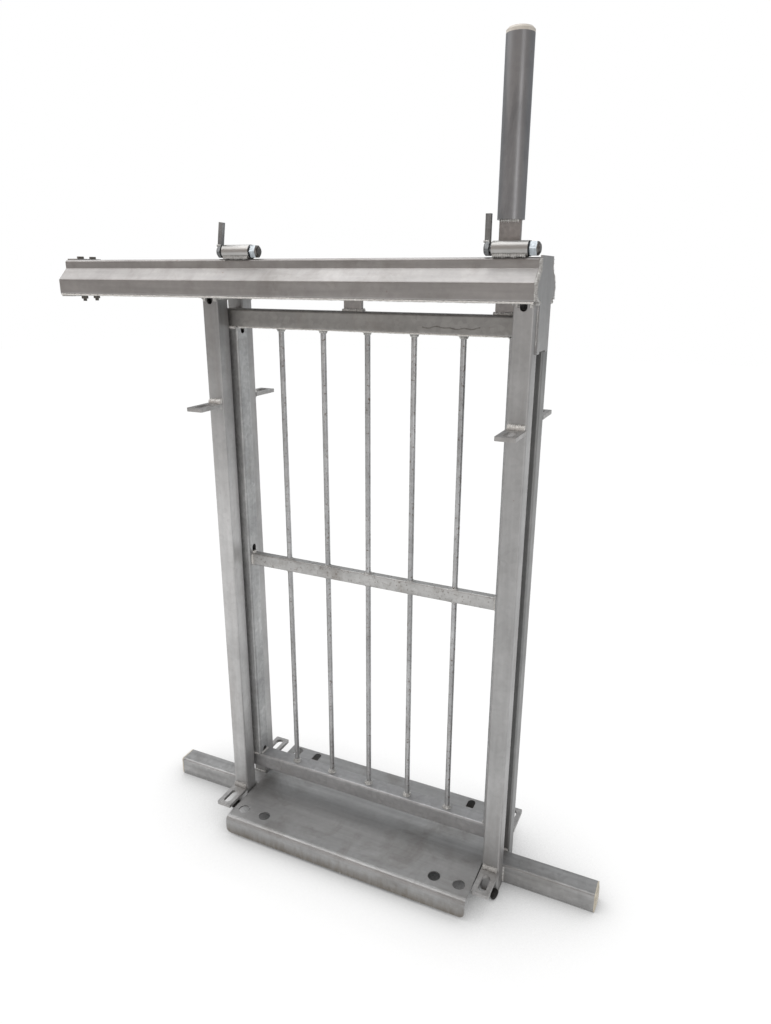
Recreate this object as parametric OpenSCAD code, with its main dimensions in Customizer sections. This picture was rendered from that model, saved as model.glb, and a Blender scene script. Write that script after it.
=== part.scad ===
// Sliding stop gate for a livestock race.
// A barred gate hangs on rollers from a two-half overhead track and slides to the left.
// Units are millimetres, +Z is up and +X runs along the track.
// The origin is on the ground, at the middle of the opening and of the gate's thickness.

/* [Posts] */
// Clear width of the passage between the posts
opening_w = 650; // [560:5:800]
// Side of the square post tube
post_w = 40; // [36:1:50]
// Height of the posts, to the underside of the track
post_h = 1317; // [1150:1:1500]
// Wall of the post tube
post_wall = 3; // [2:0.5:4]
// Outer corner radius of the post tube
post_r = 5; // [4:0.5:7]
// Width of the vent notches in the post ends
notch_w = 14; // [8:1:16]
// Height of the vent notches in the post ends
notch_h = 14; // [10:1:20]

/* [Foot bar and tread] */
// Side of the square foot bar, which also sets the gap between front and rear posts
foot_w = 50; // [48:1:60]
// Length of the foot bar
foot_len = 1150; // [1020:5:1400]
// Wall of the foot bar
foot_wall = 3; // [2:0.5:5]
// Outer corner radius of the foot bar
foot_r = 6; // [5:0.5:8]
// Thickness of the plastic end caps
cap_t = 3; // [2:0.5:5]
// Depth that an end cap's plug reaches into the tube
cap_plug = 12; // [6:1:20]
// Thickness of the tread plate
tread_t = 3; // [2:0.5:5]
// Reach of the tread plate to the front and to the rear
tread_reach = 170; // [150:1:200]
// Height of the tread's folded lip
tread_lip = 45; // [30:1:49]
// Gap between the tread and the posts on each side
tread_gap = 6; // [4:1:12]
// Inside radius of the tread's folds
tread_fold_r = 10; // [4:1:11]
// Corner radius at the ends of the tread's lips
lip_corner_r = 12; // [4:1:20]
// Diameter of the round holes in the front of the tread
tread_hole_d = 29; // [12:1:32]
// Width of the D-shaped holes in the rear of the tread
tread_d_w = 20; // [12:1:28]
// Length of the D-shaped holes in the rear of the tread
tread_d_len = 30; // [20:1:36]
// Distance of the outer tread holes from the tread's side edge
hole_edge = 28; // [20:1:40]
// Distance between the two holes of a corner
hole_pitch = 60; // [40:1:90]
// Distance of the front holes from the front face of the tread
hole_front = 43; // [30:1:70]
// Distance of the D-shaped holes' round end from the rear face of the tread
d_rear = 15; // [10:1:40]

/* [Lugs] */
// Length of the fixing lugs
lug_len = 78; // [60:1:95]
// Thickness of the fixing lugs
lug_t = 8; // [4:1:10]
// Width of the slot in a lug
lug_slot_w = 19; // [10:1:20]
// Overall length of the slot in a lug
lug_slot_len = 48; // [28:1:50]
// Distance from a slot's outer end to the lug's outer edge
lug_slot_edge = 9; // [8:0.5:14]
// Corner radius of a lug's free end
lug_corner_r = 3; // [2:1:12]
// Height of the front lower lugs' top face
lug_low_z = 64; // [30:1:120]
// Height of the front upper lugs' top face
lug_high_z = 1089; // [700:1:1130]
// Height of the rear lower lugs' top face
rear_low_z = 80; // [30:1:120]
// Height of the rear upper lugs' top face
rear_high_z = 1096; // [700:1:1130]

/* [Track] */
// Sheet thickness of the track
track_t = 3; // [2:0.5:4]
// Inside radius of the track's folds
track_fold_r = 3; // [1:0.5:5]
// Overhang of the track's lower wall past the posts' outer faces
track_over = 4; // [0:0.5:8]
// Height of the track's lower wall
track_wall_h = 35; // [28:1:45]
// Run and rise of the 45 degree slope above the lower wall
track_slope = 25; // [20:1:28]
// Height of the neck wall above the slope
track_neck_h = 19; // [12:1:25]
// Width of the slots along the track's top and bottom
track_slot = 24; // [22:1:30]
// Reach of the track past the left posts
track_left = 412; // [400:1:600]

/* [End plate and stop] */
// Thickness of the plate that closes the track's right end
end_t = 4; // [3:0.5:8]
// Rise of the end plate above the track's top
end_rise = 3; // [0:1:12]
// Rise of the end plate's slanted lower edges, from the tongue to the plate's sides
end_slant = 13; // [4:1:20]
// Width of the end plate's tongue
tongue_w = 86; // [70:1:110]
// Length of the tongue below the track
tongue_len = 91; // [60:1:140]
// Height of the arch in the tongue's lower edge
arch_h = 4; // [2:1:24]
// Corner radius of the arch
arch_r = 4; // [2:1:14]
// Width of the flat bars across the track's left end
stop_w = 33; // [32:1:40]
// Length of the flat bar on the track's top
stop_len = 72; // [58:1:80]
// Length of the flat bar under the track
stop_low_len = 130; // [70:1:134]
// Thickness of the stop's flat bars
stop_t = 3; // [3:0.5:8]
// Distance of the stop's bolts from the edge of the track's slot
stop_in = 7; // [6:1:10]
// Distance of the stop's bolts from the track's left end
stop_bolt_x = 24; // [18:1:25]
// Diameter of the stop's bolts
stop_bolt_d = 8; // [6:1:8]

/* [Gate] */
// Side of the gate's square tube
gate_w = 40; // [30:1:40]
// Wall of the gate's tubes
gate_wall = 3; // [2:0.5:4]
// Outer corner radius of the gate's tubes
gate_r = 5; // [4:0.5:7]
// Lap of the gate behind the posts on each side
gate_lap = 24; // [10:1:30]
// Gap between the gate's top and the track
head_gap = 24; // [15:1:40]
// Height of the gate
gate_h = 1190; // [1050:1:1220]
// Height of the mid rail's section
mid_h = 30; // [20:1:40]
// Depth of the mid rail's section
mid_d = 20; // [18:1:30]
// Outer corner radius of the mid rail's section
mid_r = 3; // [2:0.5:4]
// Wall of the mid rail
mid_wall = 2; // [1.5:0.5:2.5]
// Height of the mid rail's centre
mid_z = 700; // [500:1:900]
// Diameter of the round bars
bar_d = 12; // [8:1:14]
// Number of round bars
bar_n = 5; // [3:1:5]
// Distance between the round bars
bar_pitch = 105; // [80:1:115]
// Shift of the row of bars to the right of the gate's middle
bar_shift = 3; // [-10:1:10]

/* [Hangers and handle] */
// Width of the hanger and handle flat bars
flat_w = 40; // [30:1:46]
// Thickness of the hanger and handle flat bars
flat_t = 10; // [6:1:11]
// Place of the middle hanger along the gate
hanger_x = -29; // [-80:1:60]
// Distance from the passage's right side to the handle's centre
handle_in = 30; // [28:1:60]
// Diameter of the rollers
roller_d = 44; // [36:1:46]
// Width of a roller
roller_w = 16; // [10:1:18]
// Diameter of the roller axles
axle_d = 12; // [8:1:16]
// Running gap of the rollers over the track
roller_gap = 0.3; // [0.2:0.1:0.6]
// Distance of a roller's inner face from the edge of the track's slot
roller_in = 3; // [2:0.5:6]
// Outer diameter of the handle grip
grip_d = 50; // [48:1:60]
// Length of the handle grip
grip_len = 295; // [200:1:400]
// Height of the grip's lower end above the track
grip_rise = 65; // [60:1:120]
// Thickness of the grip's cap above the tube
grip_cap_t = 9; // [5:0.5:12]
// Bevel around the top of the grip's cap
grip_cap_bevel = 4; // [1:0.5:4]
// Depth that the cap's plug reaches into the grip
grip_plug = 12; // [6:1:20]

/* [Latches] */
// Outer diameter of the latch tubes
latch_d = 28; // [28:1:34]
// Length of the latch tubes
latch_len = 67; // [50:1:70]
// Diameter of the latch pivot bolts
pivot_d = 16; // [12:1:18]
// Across flats of the pivot bolt's head and nut
pivot_flats = 24; // [22:1:24]
// Height of the pivot bolt's head
pivot_head = 10; // [8:1:14]
// Bare shank between the pivot bolt's head and its tube
pivot_neck = 5; // [1:0.5:6]
// Side gap between the tube and the washer
pivot_side = 0.6; // [0.4:0.1:0.9]
// Thickness of the washer under the pivot bolt's nut
pivot_washer = 2.5; // [1.5:0.5:4]
// Diameter of the washer under the pivot bolt's nut
pivot_washer_d = 27; // [24:1:28]
// Height of the pivot bolt's nut
pivot_nut = 16; // [8:1:16]
// Diameter that the bevels leave on the outer faces of the head and the nut
pivot_face_d = 20; // [18:1:22]
// Length of the pivot bolt's end beyond its nut
pivot_tail = 1.5; // [0.5:0.5:3]
// Fit between the pivot bolt and its tube
pivot_fit = 0.4; // [0.2:0.1:0.8]
// Width of a lever along the track
lever_w = 10; // [6:1:10]
// Depth of a lever across the track
lever_d = 9; // [6:1:10]
// Length of a lever from its pivot's axis
lever_len = 60; // [50:1:66]
// Tilt of the left lever to the right, as it was welded
left_tilt = 8; // [0:1:8]
// Gap along the track between a closed gate's handle bar and the right lever
lever_gap = 6; // [6:0.5:10]
// Distance from the passage's left side to the left lever, to its left
left_lever_out = 9; // [0:1:20]
// Clearance between an open lever and the grip that passes it
grip_pass = 5; // [5:0.5:8]

/* [Fits] */
// Fit between a plug, bar, axle or sleeve and its bore
seat_fit = 0.2; // [0.1:0.1:0.5]

/* [Hidden] */
$fn = 48;
slack = 0.5;
weld_gap = 0.4;
flats_share = 1.7;
head_share = 0.65;
nut_share = 0.8;
half_open = opening_w / 2;
half_foot = foot_w / 2;
post_x = half_open + post_w / 2;
post_y = half_foot + post_w / 2;
post_out_x = half_open + post_w;
post_out_y = half_foot + post_w;
tread_half = half_open - tread_gap;
tread_top = foot_w + tread_t;
hole_x = tread_half - hole_edge;
track_half = post_out_y + track_over;
neck_half = track_half - track_slope;
track_z1 = post_h + track_wall_h;
track_z2 = track_z1 + track_slope;
track_top = track_z2 + track_neck_h;
track_x0 = -post_out_x - track_left;
track_len = post_out_x - track_x0;
stop_x = track_x0 + stop_bolt_x;
stop_pitch = track_slot + 2 * stop_in;
gate_half = half_open + gate_lap;
gate_top = post_h - head_gap;
gate_z0 = gate_top - gate_h;
stile_x = gate_half - gate_w / 2;
stile_h = gate_h - 2 * gate_w;
inner_half = gate_half - gate_w;
handle_x = half_open - handle_in;
roller_z = post_h + track_t + roller_gap + roller_d / 2;
roller_y = track_slot / 2 + roller_in + roller_w / 2;
hanger_top = roller_z + roller_d / 2;
axle_len = 2 * (roller_y + roller_w / 2 + 4);
grip_z0 = track_top + grip_rise;
grip_bore = sqrt(flat_w * flat_w + flat_t * flat_t) + 2 * seat_fit;
handle_top = grip_z0 + grip_len - grip_plug;
latch_y = -(grip_d + lever_d) / 2 - grip_pass;
latch_z = track_top + max(latch_d, pivot_flats / cos(30)) / 2 + weld_gap;
lever_right_x = handle_x - flat_w / 2 - lever_gap - lever_w;
lever_left_x = -half_open - left_lever_out;
lug_slot_y = post_out_y + lug_len - lug_slot_edge - lug_slot_len / 2;

// Direction of a vector
function unit(v) = v / norm(v);

// A vector turned a quarter turn to the left
function left_of(v) = [-v[1], v[0]];

// Positive where the path turns left at b
function turn(a, b, c) = cross(b - a, c - b);

// Corner b of a path, moved to the left by t
function shifted(a, b, c, t) =
    let (m = left_of(unit(b - a)), n = left_of(unit(c - b)))
    b + (m + n) * t / (1 + m * n);

// Arc of radius r that rounds the corner b
function rounded(a, b, c, r, steps = 5) =
    let (
        u = unit(a - b),
        v = unit(c - b),
        half = acos(u * v) / 2,
        middle = b + unit(u + v) * r / sin(half),
        p = b + u * r / tan(half) - middle,
        q = b + v * r / tan(half) - middle,
        start = atan2(p[1], p[0]),
        sweep = (atan2(q[1], q[0]) - start + 540) % 360 - 180
    )
    [for (i = [0:steps]) middle + r * [cos(start + sweep * i / steps), sin(start + sweep * i / steps)]];

// One face of a folded sheet that lies t to the left of its path
function sheet_face(path, t, sheet_t, r) =
    let (n = len(path))
    let (first = path[0] + left_of(unit(path[1] - path[0])) * t)
    let (last = path[n - 1] + left_of(unit(path[n - 1] - path[n - 2])) * t)
    concat(
        [first],
        [for (i = [1:n - 2])
            let (a = path[i - 1], b = path[i], c = path[i + 1])
            let (inside = (turn(a, b, c) > 0) == (t > 0))
            let (corner = shifted(a, b, c, t), shift = corner - b)
            each rounded(a + shift, corner, c + shift, inside ? r : r + sheet_t)],
        [last]
    );

// Folded sheet with its outer face on the path and its thickness to the path's left
module folded_sheet(path, sheet_t, r) {
    outer = sheet_face(path, 0, sheet_t, r);
    inner = sheet_face(path, sheet_t, sheet_t, r);
    polygon(concat(outer, [for (i = [len(inner) - 1:-1:0]) inner[i]]));
}

// Rectangle with round corners, centred
module round_rect(w, h, r) {
    square([w - 2 * r, h], center = true);
    square([w, h - 2 * r], center = true);
    for (x = [-1, 1], y = [-1, 1])
        translate([x * (w / 2 - r), y * (h / 2 - r)])
            circle(r = r);
}

// Section of a rectangular tube, centred
module tube_section(w, h, wall, r) {
    difference() {
        round_rect(w, h, r);
        round_rect(w - 2 * wall, h - 2 * wall, max(r - wall, 1));
    }
}

// Slot outline along Y, centred
module slot_outline(w, len) {
    square([w, len - w], center = true);
    for (y = [-1, 1])
        translate([0, y * (len - w) / 2])
            circle(d = w);
}

// D-shaped outline that runs back from its round end at the origin, towards -Y
module d_outline(w, len) {
    translate([0, -w / 2])
        circle(d = w);
    translate([-w / 2, -len])
        square([w, len - w / 2]);
}

// Tube that lies along X from x0
module tube_along_x(x0, len, w, h, wall, r) {
    translate([x0, 0, 0])
        rotate([90, 0, 90])
            linear_extrude(len)
                tube_section(w, h, wall, r);
}

// Vent notch at one end of a post, cut through its outer wall; side is -1 for front posts
module vent_notch(side) {
    translate([0, side * (post_w / 2 - post_wall / 2), 0])
        rotate([90, 0, 0]) {
            cylinder(d = notch_w, h = post_wall + 2 * slack, center = true);
            translate([0, -notch_h, 0])
                cube([notch_w, 2 * notch_h, post_wall + 2 * slack], center = true);
        }
}

// Post at one corner; across is -1 on the left, side is -1 at the front
module post(across, side) {
    color("#8f8f8c")
        translate([across * post_x, side * post_y, 0])
            difference() {
                linear_extrude(post_h)
                    tube_section(post_w, post_w, post_wall, post_r);
                translate([0, 0, notch_h - notch_w / 2])
                    vent_notch(side);
                translate([0, 0, post_h - notch_h + notch_w / 2])
                    mirror([0, 0, 1])
                        vent_notch(side);
            }
}

module foot_bar() {
    color("#878785")
        translate([0, 0, half_foot])
            tube_along_x(-foot_len / 2, foot_len, foot_w, foot_w, foot_wall, foot_r);
}

// End caps with a plug that seats in the foot bar's bore
module foot_bar_caps() {
    plug_w = foot_w - 2 * foot_wall - 2 * seat_fit;
    color("#d6cfbd")
        for (side = [-1, 1])
            translate([side * foot_len / 2, 0, half_foot])
                rotate([90, 0, side * 90]) {
                    linear_extrude(cap_t)
                        round_rect(foot_w, foot_w, foot_r);
                    translate([0, 0, -cap_plug])
                        linear_extrude(cap_plug)
                            round_rect(plug_w, plug_w, max(foot_r - foot_wall, 1));
                }
}

// Tread plate over the foot bar, folded down at the front and rear
module tread_plate() {
    lip_z = tread_top - tread_lip;
    path = [
        [tread_reach, lip_z],
        [tread_reach, tread_top],
        [-tread_reach, tread_top],
        [-tread_reach, lip_z]
    ];
    color("#868482")
        difference() {
            translate([-tread_half, 0, 0])
                rotate([90, 0, 90])
                    linear_extrude(2 * tread_half)
                        folded_sheet(path, tread_t, tread_fold_r);
            for (across = [-1, 1]) {
                for (side = [-1, 1])
                    lip_corner_cut(across, side, lip_z);
                for (inward = [0, hole_pitch]) {
                    translate([across * (hole_x - inward), hole_front - tread_reach, foot_w - slack])
                        cylinder(d = tread_hole_d, h = tread_t + 2 * slack);
                    translate([across * (hole_x - inward), tread_reach - d_rear, foot_w - slack])
                        linear_extrude(tread_t + 2 * slack)
                            d_outline(tread_d_w, tread_d_len);
                }
            }
        }
}

// Waste that rounds the lower corner of a tread lip
module lip_corner_cut(across, side, lip_z) {
    depth = tread_t + 2 * slack;
    translate([across * tread_half, side * (tread_reach - tread_t / 2), lip_z])
        rotate([90, 0, 0])
            difference() {
                cube([2 * lip_corner_r, 2 * lip_corner_r, depth], center = true);
                translate([-across * lip_corner_r, lip_corner_r, 0])
                    cylinder(r = lip_corner_r, h = depth + 2 * slack, center = true);
            }
}

// Slotted lug that is welded to a post's outer face
module lug(across, side, top_z) {
    free_y = post_out_y + lug_len;
    color("#85827f")
        mirror([0, side < 0 ? 1 : 0, 0])
            translate([across * post_x, 0, top_z - lug_t])
                linear_extrude(lug_t)
                    difference() {
                        lug_outline(free_y);
                        translate([0, lug_slot_y])
                            slot_outline(lug_slot_w, lug_slot_len);
                    }
}

// Lug outline with two round corners at its free end
module lug_outline(free_y) {
    translate([-post_w / 2, post_out_y])
        square([post_w, lug_len - lug_corner_r]);
    translate([-post_w / 2 + lug_corner_r, post_out_y])
        square([post_w - 2 * lug_corner_r, lug_len]);
    for (x = [-1, 1])
        translate([x * (post_w / 2 - lug_corner_r), free_y - lug_corner_r])
            circle(r = lug_corner_r);
}

// Outer face of the track's front half, from the lower lip's edge to the top flange's edge
function track_path() = [
    [-track_slot / 2, post_h],
    [-track_half, post_h],
    [-track_half, track_z1],
    [-neck_half, track_z2],
    [-neck_half, track_top],
    [-track_slot / 2, track_top]
];

// One folded half of the track; side is -1 for the front half
module track_half_sheet(side) {
    color("#959391")
        mirror([0, side > 0 ? 1 : 0, 0])
            difference() {
                translate([track_x0, 0, 0])
                    rotate([90, 0, 90])
                        linear_extrude(track_len)
                            mirror([1, 0])
                                folded_sheet([for (p = track_path()) [-p[0], p[1]]], track_t, track_fold_r);
                translate([stop_x, -stop_pitch / 2, post_h - slack])
                    cylinder(d = stop_bolt_d + 2 * slack, h = track_top - post_h + 2 * slack);
            }
}

// Plate that closes the track's right end, with a tongue over the gap between the posts
module track_end_plate() {
    foot_z = post_h - tongue_len;
    half = concat(
        [[tongue_w / 2, foot_z], [tongue_w / 2, post_h], [track_half, post_h + end_slant]],
        [[track_half, track_z1], [neck_half, track_z2], [neck_half, track_top + end_rise]]
    );
    mirrored = [for (i = [len(half) - 1:-1:0]) [-half[i][0], half[i][1]]];
    color("#8e8d8b")
        translate([post_out_x, 0, 0])
            rotate([90, 0, 90])
                linear_extrude(end_t)
                    difference() {
                        polygon(concat(half, mirrored));
                        translate([0, foot_z])
                            round_rect(foot_w, 2 * arch_h, min(arch_r, arch_h));
                    }
}

// Flat bar of the left end stop, with two bolt holes
module stop_bar(z, len) {
    color("#8a8886")
        translate([stop_x, 0, z])
            difference() {
                translate([-stop_bolt_x, -len / 2, 0])
                    cube([stop_w, len, stop_t]);
                for (side = [-1, 1])
                    translate([0, side * stop_pitch / 2, -slack])
                        cylinder(d = stop_bolt_d + 2 * slack, h = stop_t + 2 * slack);
            }
}

// The stop's two bolts, each with its head, shank and nut
module stop_bolts() {
    flats = stop_bolt_d * flats_share;
    head_h = stop_bolt_d * head_share;
    nut_h = stop_bolt_d * nut_share;
    low = post_h - stop_t;
    high = track_top + stop_t;
    tail = stop_bolt_d - head_h / 2;
    color("#77777a")
        for (side = [-1, 1])
            translate([stop_x, side * stop_pitch / 2, 0]) {
                translate([0, 0, high])
                    hex(flats, head_h);
                translate([0, 0, low - nut_h])
                    hex(flats, nut_h);
                translate([0, 0, low - nut_h - tail])
                    cylinder(d = stop_bolt_d, h = high - low + nut_h + tail + head_h / 2);
            }
}

// Hexagon prism by its size across flats
module hex(flats, h) {
    cylinder(d = flats / cos(30), h = h, $fn = 6);
}

// Latch tube on the track's top flange, to the right of its lever
module latch_tube(lever_x) {
    color("#9a9896")
        translate([lever_x + lever_w + pivot_neck, latch_y, latch_z])
            rotate([0, 90, 0])
                difference() {
                    cylinder(d = latch_d, h = latch_len);
                    translate([0, 0, -slack])
                        cylinder(d = pivot_d + 2 * pivot_fit, h = latch_len + 2 * slack);
                }
}

// Hexagon with its outer end, at the top, bevelled down to a round face
module bevelled_hex(flats, h) {
    intersection() {
        hex(flats, h);
        cylinder(d1 = pivot_face_d + 2 * h, d2 = pivot_face_d, h = h);
    }
}

// Pivot bolt that turns in its tube, with a washer and a nut at the right
module pivot_bolt(lever_x) {
    washer_x = lever_w + pivot_neck + latch_len + pivot_side;
    nut_x = washer_x + pivot_washer;
    middle_x = lever_w - pivot_head / 2;
    color("#a3aab0")
        translate([lever_x, latch_y, latch_z])
            rotate([0, 90, 0]) {
                translate([0, 0, lever_w])
                    mirror([0, 0, 1])
                        rotate([0, 0, 30])
                            bevelled_hex(pivot_flats, pivot_head);
                translate([0, 0, middle_x])
                    cylinder(d = pivot_d, h = nut_x + pivot_nut + pivot_tail - middle_x);
                translate([0, 0, washer_x])
                    cylinder(d = pivot_washer_d, h = pivot_washer);
                translate([0, 0, nut_x])
                    rotate([0, 0, 30])
                        bevelled_hex(pivot_flats, pivot_nut);
            }
}

// Lever that is welded to the top flat of its pivot bolt's head
module lever(lever_x, tilt) {
    foot_z = pivot_flats / 2;
    along = (lever_len - foot_z) * [sin(tilt), cos(tilt)];
    across = lever_w * [cos(tilt), -sin(tilt)];
    foot = [0, foot_z];
    color("#6f7072")
        translate([lever_x, latch_y + lever_d / 2, latch_z])
            rotate([90, 0, 0])
                linear_extrude(lever_d)
                    polygon([foot, foot + [lever_w, 0], foot + along + across, foot + along]);
}

// Horizontal rail over the gate's full width
module gate_rail(z) {
    color("#7f8184")
        translate([0, 0, z])
            tube_along_x(-gate_half, 2 * gate_half, gate_w, gate_w, gate_wall, gate_r);
}

// Stile between the rails, with vent notches in its inner wall
module gate_stile(across) {
    color("#808284")
        translate([across * stile_x, 0, gate_z0 + gate_w])
            difference() {
                linear_extrude(stile_h)
                    tube_section(gate_w, gate_w, gate_wall, gate_r);
                for (z = [0, stile_h, mid_z + mid_h / 2 - gate_z0 - gate_w + notch_h / 2])
                    translate([-across * (gate_w - gate_wall) / 2, 0, z])
                        rotate([90, 0, 90])
                            linear_extrude(gate_wall + 2 * slack, center = true)
                                slot_outline(notch_w, 2 * notch_h);
            }
}

// Mid rail between the stiles, bored for the round bars
module gate_mid_rail() {
    color("#8b8c8d")
        difference() {
            translate([0, 0, mid_z])
                tube_along_x(-inner_half, 2 * inner_half, mid_d, mid_h, mid_wall, mid_r);
            for (i = [1:bar_n])
                translate([bar_x(i), 0, mid_z - mid_h])
                    cylinder(d = bar_d + 2 * seat_fit, h = 2 * mid_h);
        }
}

// Place of a round bar along the gate
function bar_x(i) = bar_shift + (i - (bar_n + 1) / 2) * bar_pitch;

// Round bar from the bottom rail to the top rail
module gate_bar(i) {
    if (i <= bar_n)
        color("#8a8b8c")
            translate([bar_x(i), 0, gate_z0 + gate_w])
                cylinder(d = bar_d, h = stile_h);
}

// Flat bar that stands on the gate's top rail, bored for a roller axle
module hanger_bar(x, top_z) {
    color("#8b8783")
        difference() {
            translate([x - flat_w / 2, -flat_t / 2, gate_top])
                cube([flat_w, flat_t, top_z - gate_top]);
            translate([x, 0, roller_z])
                rotate([90, 0, 0])
                    cylinder(d = axle_d + 2 * seat_fit, h = flat_t + 2 * slack, center = true);
        }
}

// Axle that carries a roller on each side of a hanger
module axle(x) {
    color("#7c7d80")
        translate([x, 0, roller_z])
            rotate([90, 0, 0])
                cylinder(d = axle_d, h = axle_len, center = true);
}

// The two rollers of a hanger, which run on the track's lower lips
module rollers(x) {
    color("#5d5e60")
        for (side = [-1, 1])
            translate([x, side * roller_y, roller_z])
                rotate([90, 0, 0])
                    difference() {
                        cylinder(d = roller_d, h = roller_w, center = true);
                        cylinder(d = axle_d + 2 * seat_fit, h = roller_w + 2 * slack, center = true);
                    }
}

// Round grip that sleeves the top of the handle bar
module handle_grip() {
    color("#7b7d80")
        translate([handle_x, 0, grip_z0])
            difference() {
                cylinder(d = grip_d, h = grip_len);
                translate([0, 0, -slack])
                    cylinder(d = grip_bore, h = grip_len + 2 * slack);
            }
}

// Cap with a plug that seats in the grip's bore
module handle_cap() {
    top = grip_z0 + grip_len;
    color("#d9d2c0")
        translate([handle_x, 0, top]) {
            cylinder(d = grip_d, h = grip_cap_t - grip_cap_bevel);
            translate([0, 0, grip_cap_t - grip_cap_bevel])
                cylinder(d1 = grip_d, d2 = grip_d - 2 * grip_cap_bevel, h = grip_cap_bevel);
            translate([0, 0, -grip_plug])
                cylinder(d = grip_bore - 2 * seat_fit, h = grip_plug + slack);
        }
}

post(-1, -1);  // front_left_post
post(-1, 1);  // rear_left_post
post(1, -1);  // front_right_post
post(1, 1);  // rear_right_post
foot_bar();
foot_bar_caps();
tread_plate();
lug(-1, -1, lug_low_z);  // front_left_lower_lug
lug(-1, 1, rear_low_z);  // rear_left_lower_lug
lug(1, -1, lug_low_z);  // front_right_lower_lug
lug(1, 1, rear_low_z);  // rear_right_lower_lug
lug(-1, -1, lug_high_z);  // front_left_upper_lug
lug(-1, 1, rear_high_z);  // rear_left_upper_lug
lug(1, -1, lug_high_z);  // front_right_upper_lug
lug(1, 1, rear_high_z);  // rear_right_upper_lug
track_half_sheet(-1);  // front_track_half
track_half_sheet(1);  // rear_track_half
track_end_plate();
stop_bar(track_top, stop_len);  // stop_top_bar
stop_bar(post_h - stop_t, stop_low_len);  // stop_bottom_bar
stop_bolts();
latch_tube(lever_left_x);  // left_latch_tube
pivot_bolt(lever_left_x);  // left_pivot_bolt
latch_tube(lever_right_x);  // right_latch_tube
pivot_bolt(lever_right_x);  // right_pivot_bolt
gate_rail(gate_top - gate_w / 2);  // gate_top_rail
gate_rail(gate_z0 + gate_w / 2);  // gate_bottom_rail
gate_stile(-1);  // gate_left_stile
gate_stile(1);  // gate_right_stile
gate_mid_rail();
gate_bar(1);  // gate_bar_1
gate_bar(2);  // gate_bar_2
gate_bar(3);  // gate_bar_3
gate_bar(4);  // gate_bar_4
gate_bar(5);  // gate_bar_5
hanger_bar(hanger_x, hanger_top);  // middle_hanger
axle(hanger_x);  // middle_axle
rollers(hanger_x);  // middle_rollers
hanger_bar(handle_x, handle_top);  // handle_bar
axle(handle_x);  // handle_axle
rollers(handle_x);  // handle_rollers
handle_grip();
handle_cap();
lever(lever_left_x, left_tilt);  // left_lever
lever(lever_right_x, 0);  // right_lever
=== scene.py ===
"""Looks of a sliding livestock stop gate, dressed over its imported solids.

Every size is in metres, in the shared frame: +X along the track, +Y away from the latch
side, +Z up, with the ground at z = 0. Pattern sizes of the finishes are in millimetres.
"""

import logging
import math
from collections.abc import Callable, Iterable
from dataclasses import dataclass, field, replace
from enum import Enum

import bmesh
import bpy
from mathutils import Matrix, Vector

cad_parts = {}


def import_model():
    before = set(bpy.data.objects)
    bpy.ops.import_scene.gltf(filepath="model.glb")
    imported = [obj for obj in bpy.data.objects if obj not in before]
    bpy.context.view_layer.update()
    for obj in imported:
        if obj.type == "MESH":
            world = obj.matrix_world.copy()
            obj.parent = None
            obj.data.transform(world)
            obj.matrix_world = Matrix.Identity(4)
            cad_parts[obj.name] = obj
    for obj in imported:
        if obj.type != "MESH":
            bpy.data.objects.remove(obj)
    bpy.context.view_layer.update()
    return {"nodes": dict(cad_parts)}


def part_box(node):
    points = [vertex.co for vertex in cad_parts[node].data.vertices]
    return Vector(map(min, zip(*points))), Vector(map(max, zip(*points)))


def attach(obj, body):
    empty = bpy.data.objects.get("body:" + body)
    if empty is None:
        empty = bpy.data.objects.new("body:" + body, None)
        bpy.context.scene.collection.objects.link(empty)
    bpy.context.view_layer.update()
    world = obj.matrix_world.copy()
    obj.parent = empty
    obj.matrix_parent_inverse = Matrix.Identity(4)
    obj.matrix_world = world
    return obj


LOG = logging.getLogger("stop_gate")
MM = 0.001
MM_PER_M = 1000
FULL_TURN = 2 * math.pi
RING_STEPS = 16

# Sockets of a Mix node that mixes colours: its share and its two colours.
SHARE, FIRST, SECOND = 0, 6, 7

Span = tuple[float, float]
Point = tuple[float, float, float]
Colour = tuple[float, float, float, float]
Tree = bpy.types.NodeTree
Node = bpy.types.Node
Socket = bpy.types.NodeSocket
Piece = bpy.types.Object
Value = float | int | bool | Point | Colour | Socket | Node


class Body(str, Enum):
    """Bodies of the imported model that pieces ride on."""

    FRAME = "frame"
    GATE = "gate"
    LEFT_LATCH = "left_latch"
    RIGHT_LATCH = "right_latch"


class Slot(str, Enum):
    """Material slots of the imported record."""

    ZINC = "galvanised_steel"
    FASTENER = "zinc_fasteners"
    LEVER = "lever_steel"
    PLASTIC = "cap_plastic"


class Grain(Enum):
    """Direction in which runs and scuffs are drawn out on a surface."""

    DOWN = (1.0, 1.0, 0.07)
    ALONG = (0.05, 1.0, 1.0)
    NONE = (1.0, 1.0, 1.0)


def hex_rgba(value: str) -> Colour:
    """Turns an sRGB hex colour into linear RGBA.

    Args:
        value: Colour such as "#8a8c8d".

    Returns:
        Linear red, green and blue, and an alpha of 1.
    """
    channels = [int(value[i:i + 2], 16) / 255 for i in (1, 3, 5)]
    linear = [c / 12.92 if c <= 0.04045 else ((c + 0.055) / 1.055) ** 2.4 for c in channels]
    return (*linear, 1.0)


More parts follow.
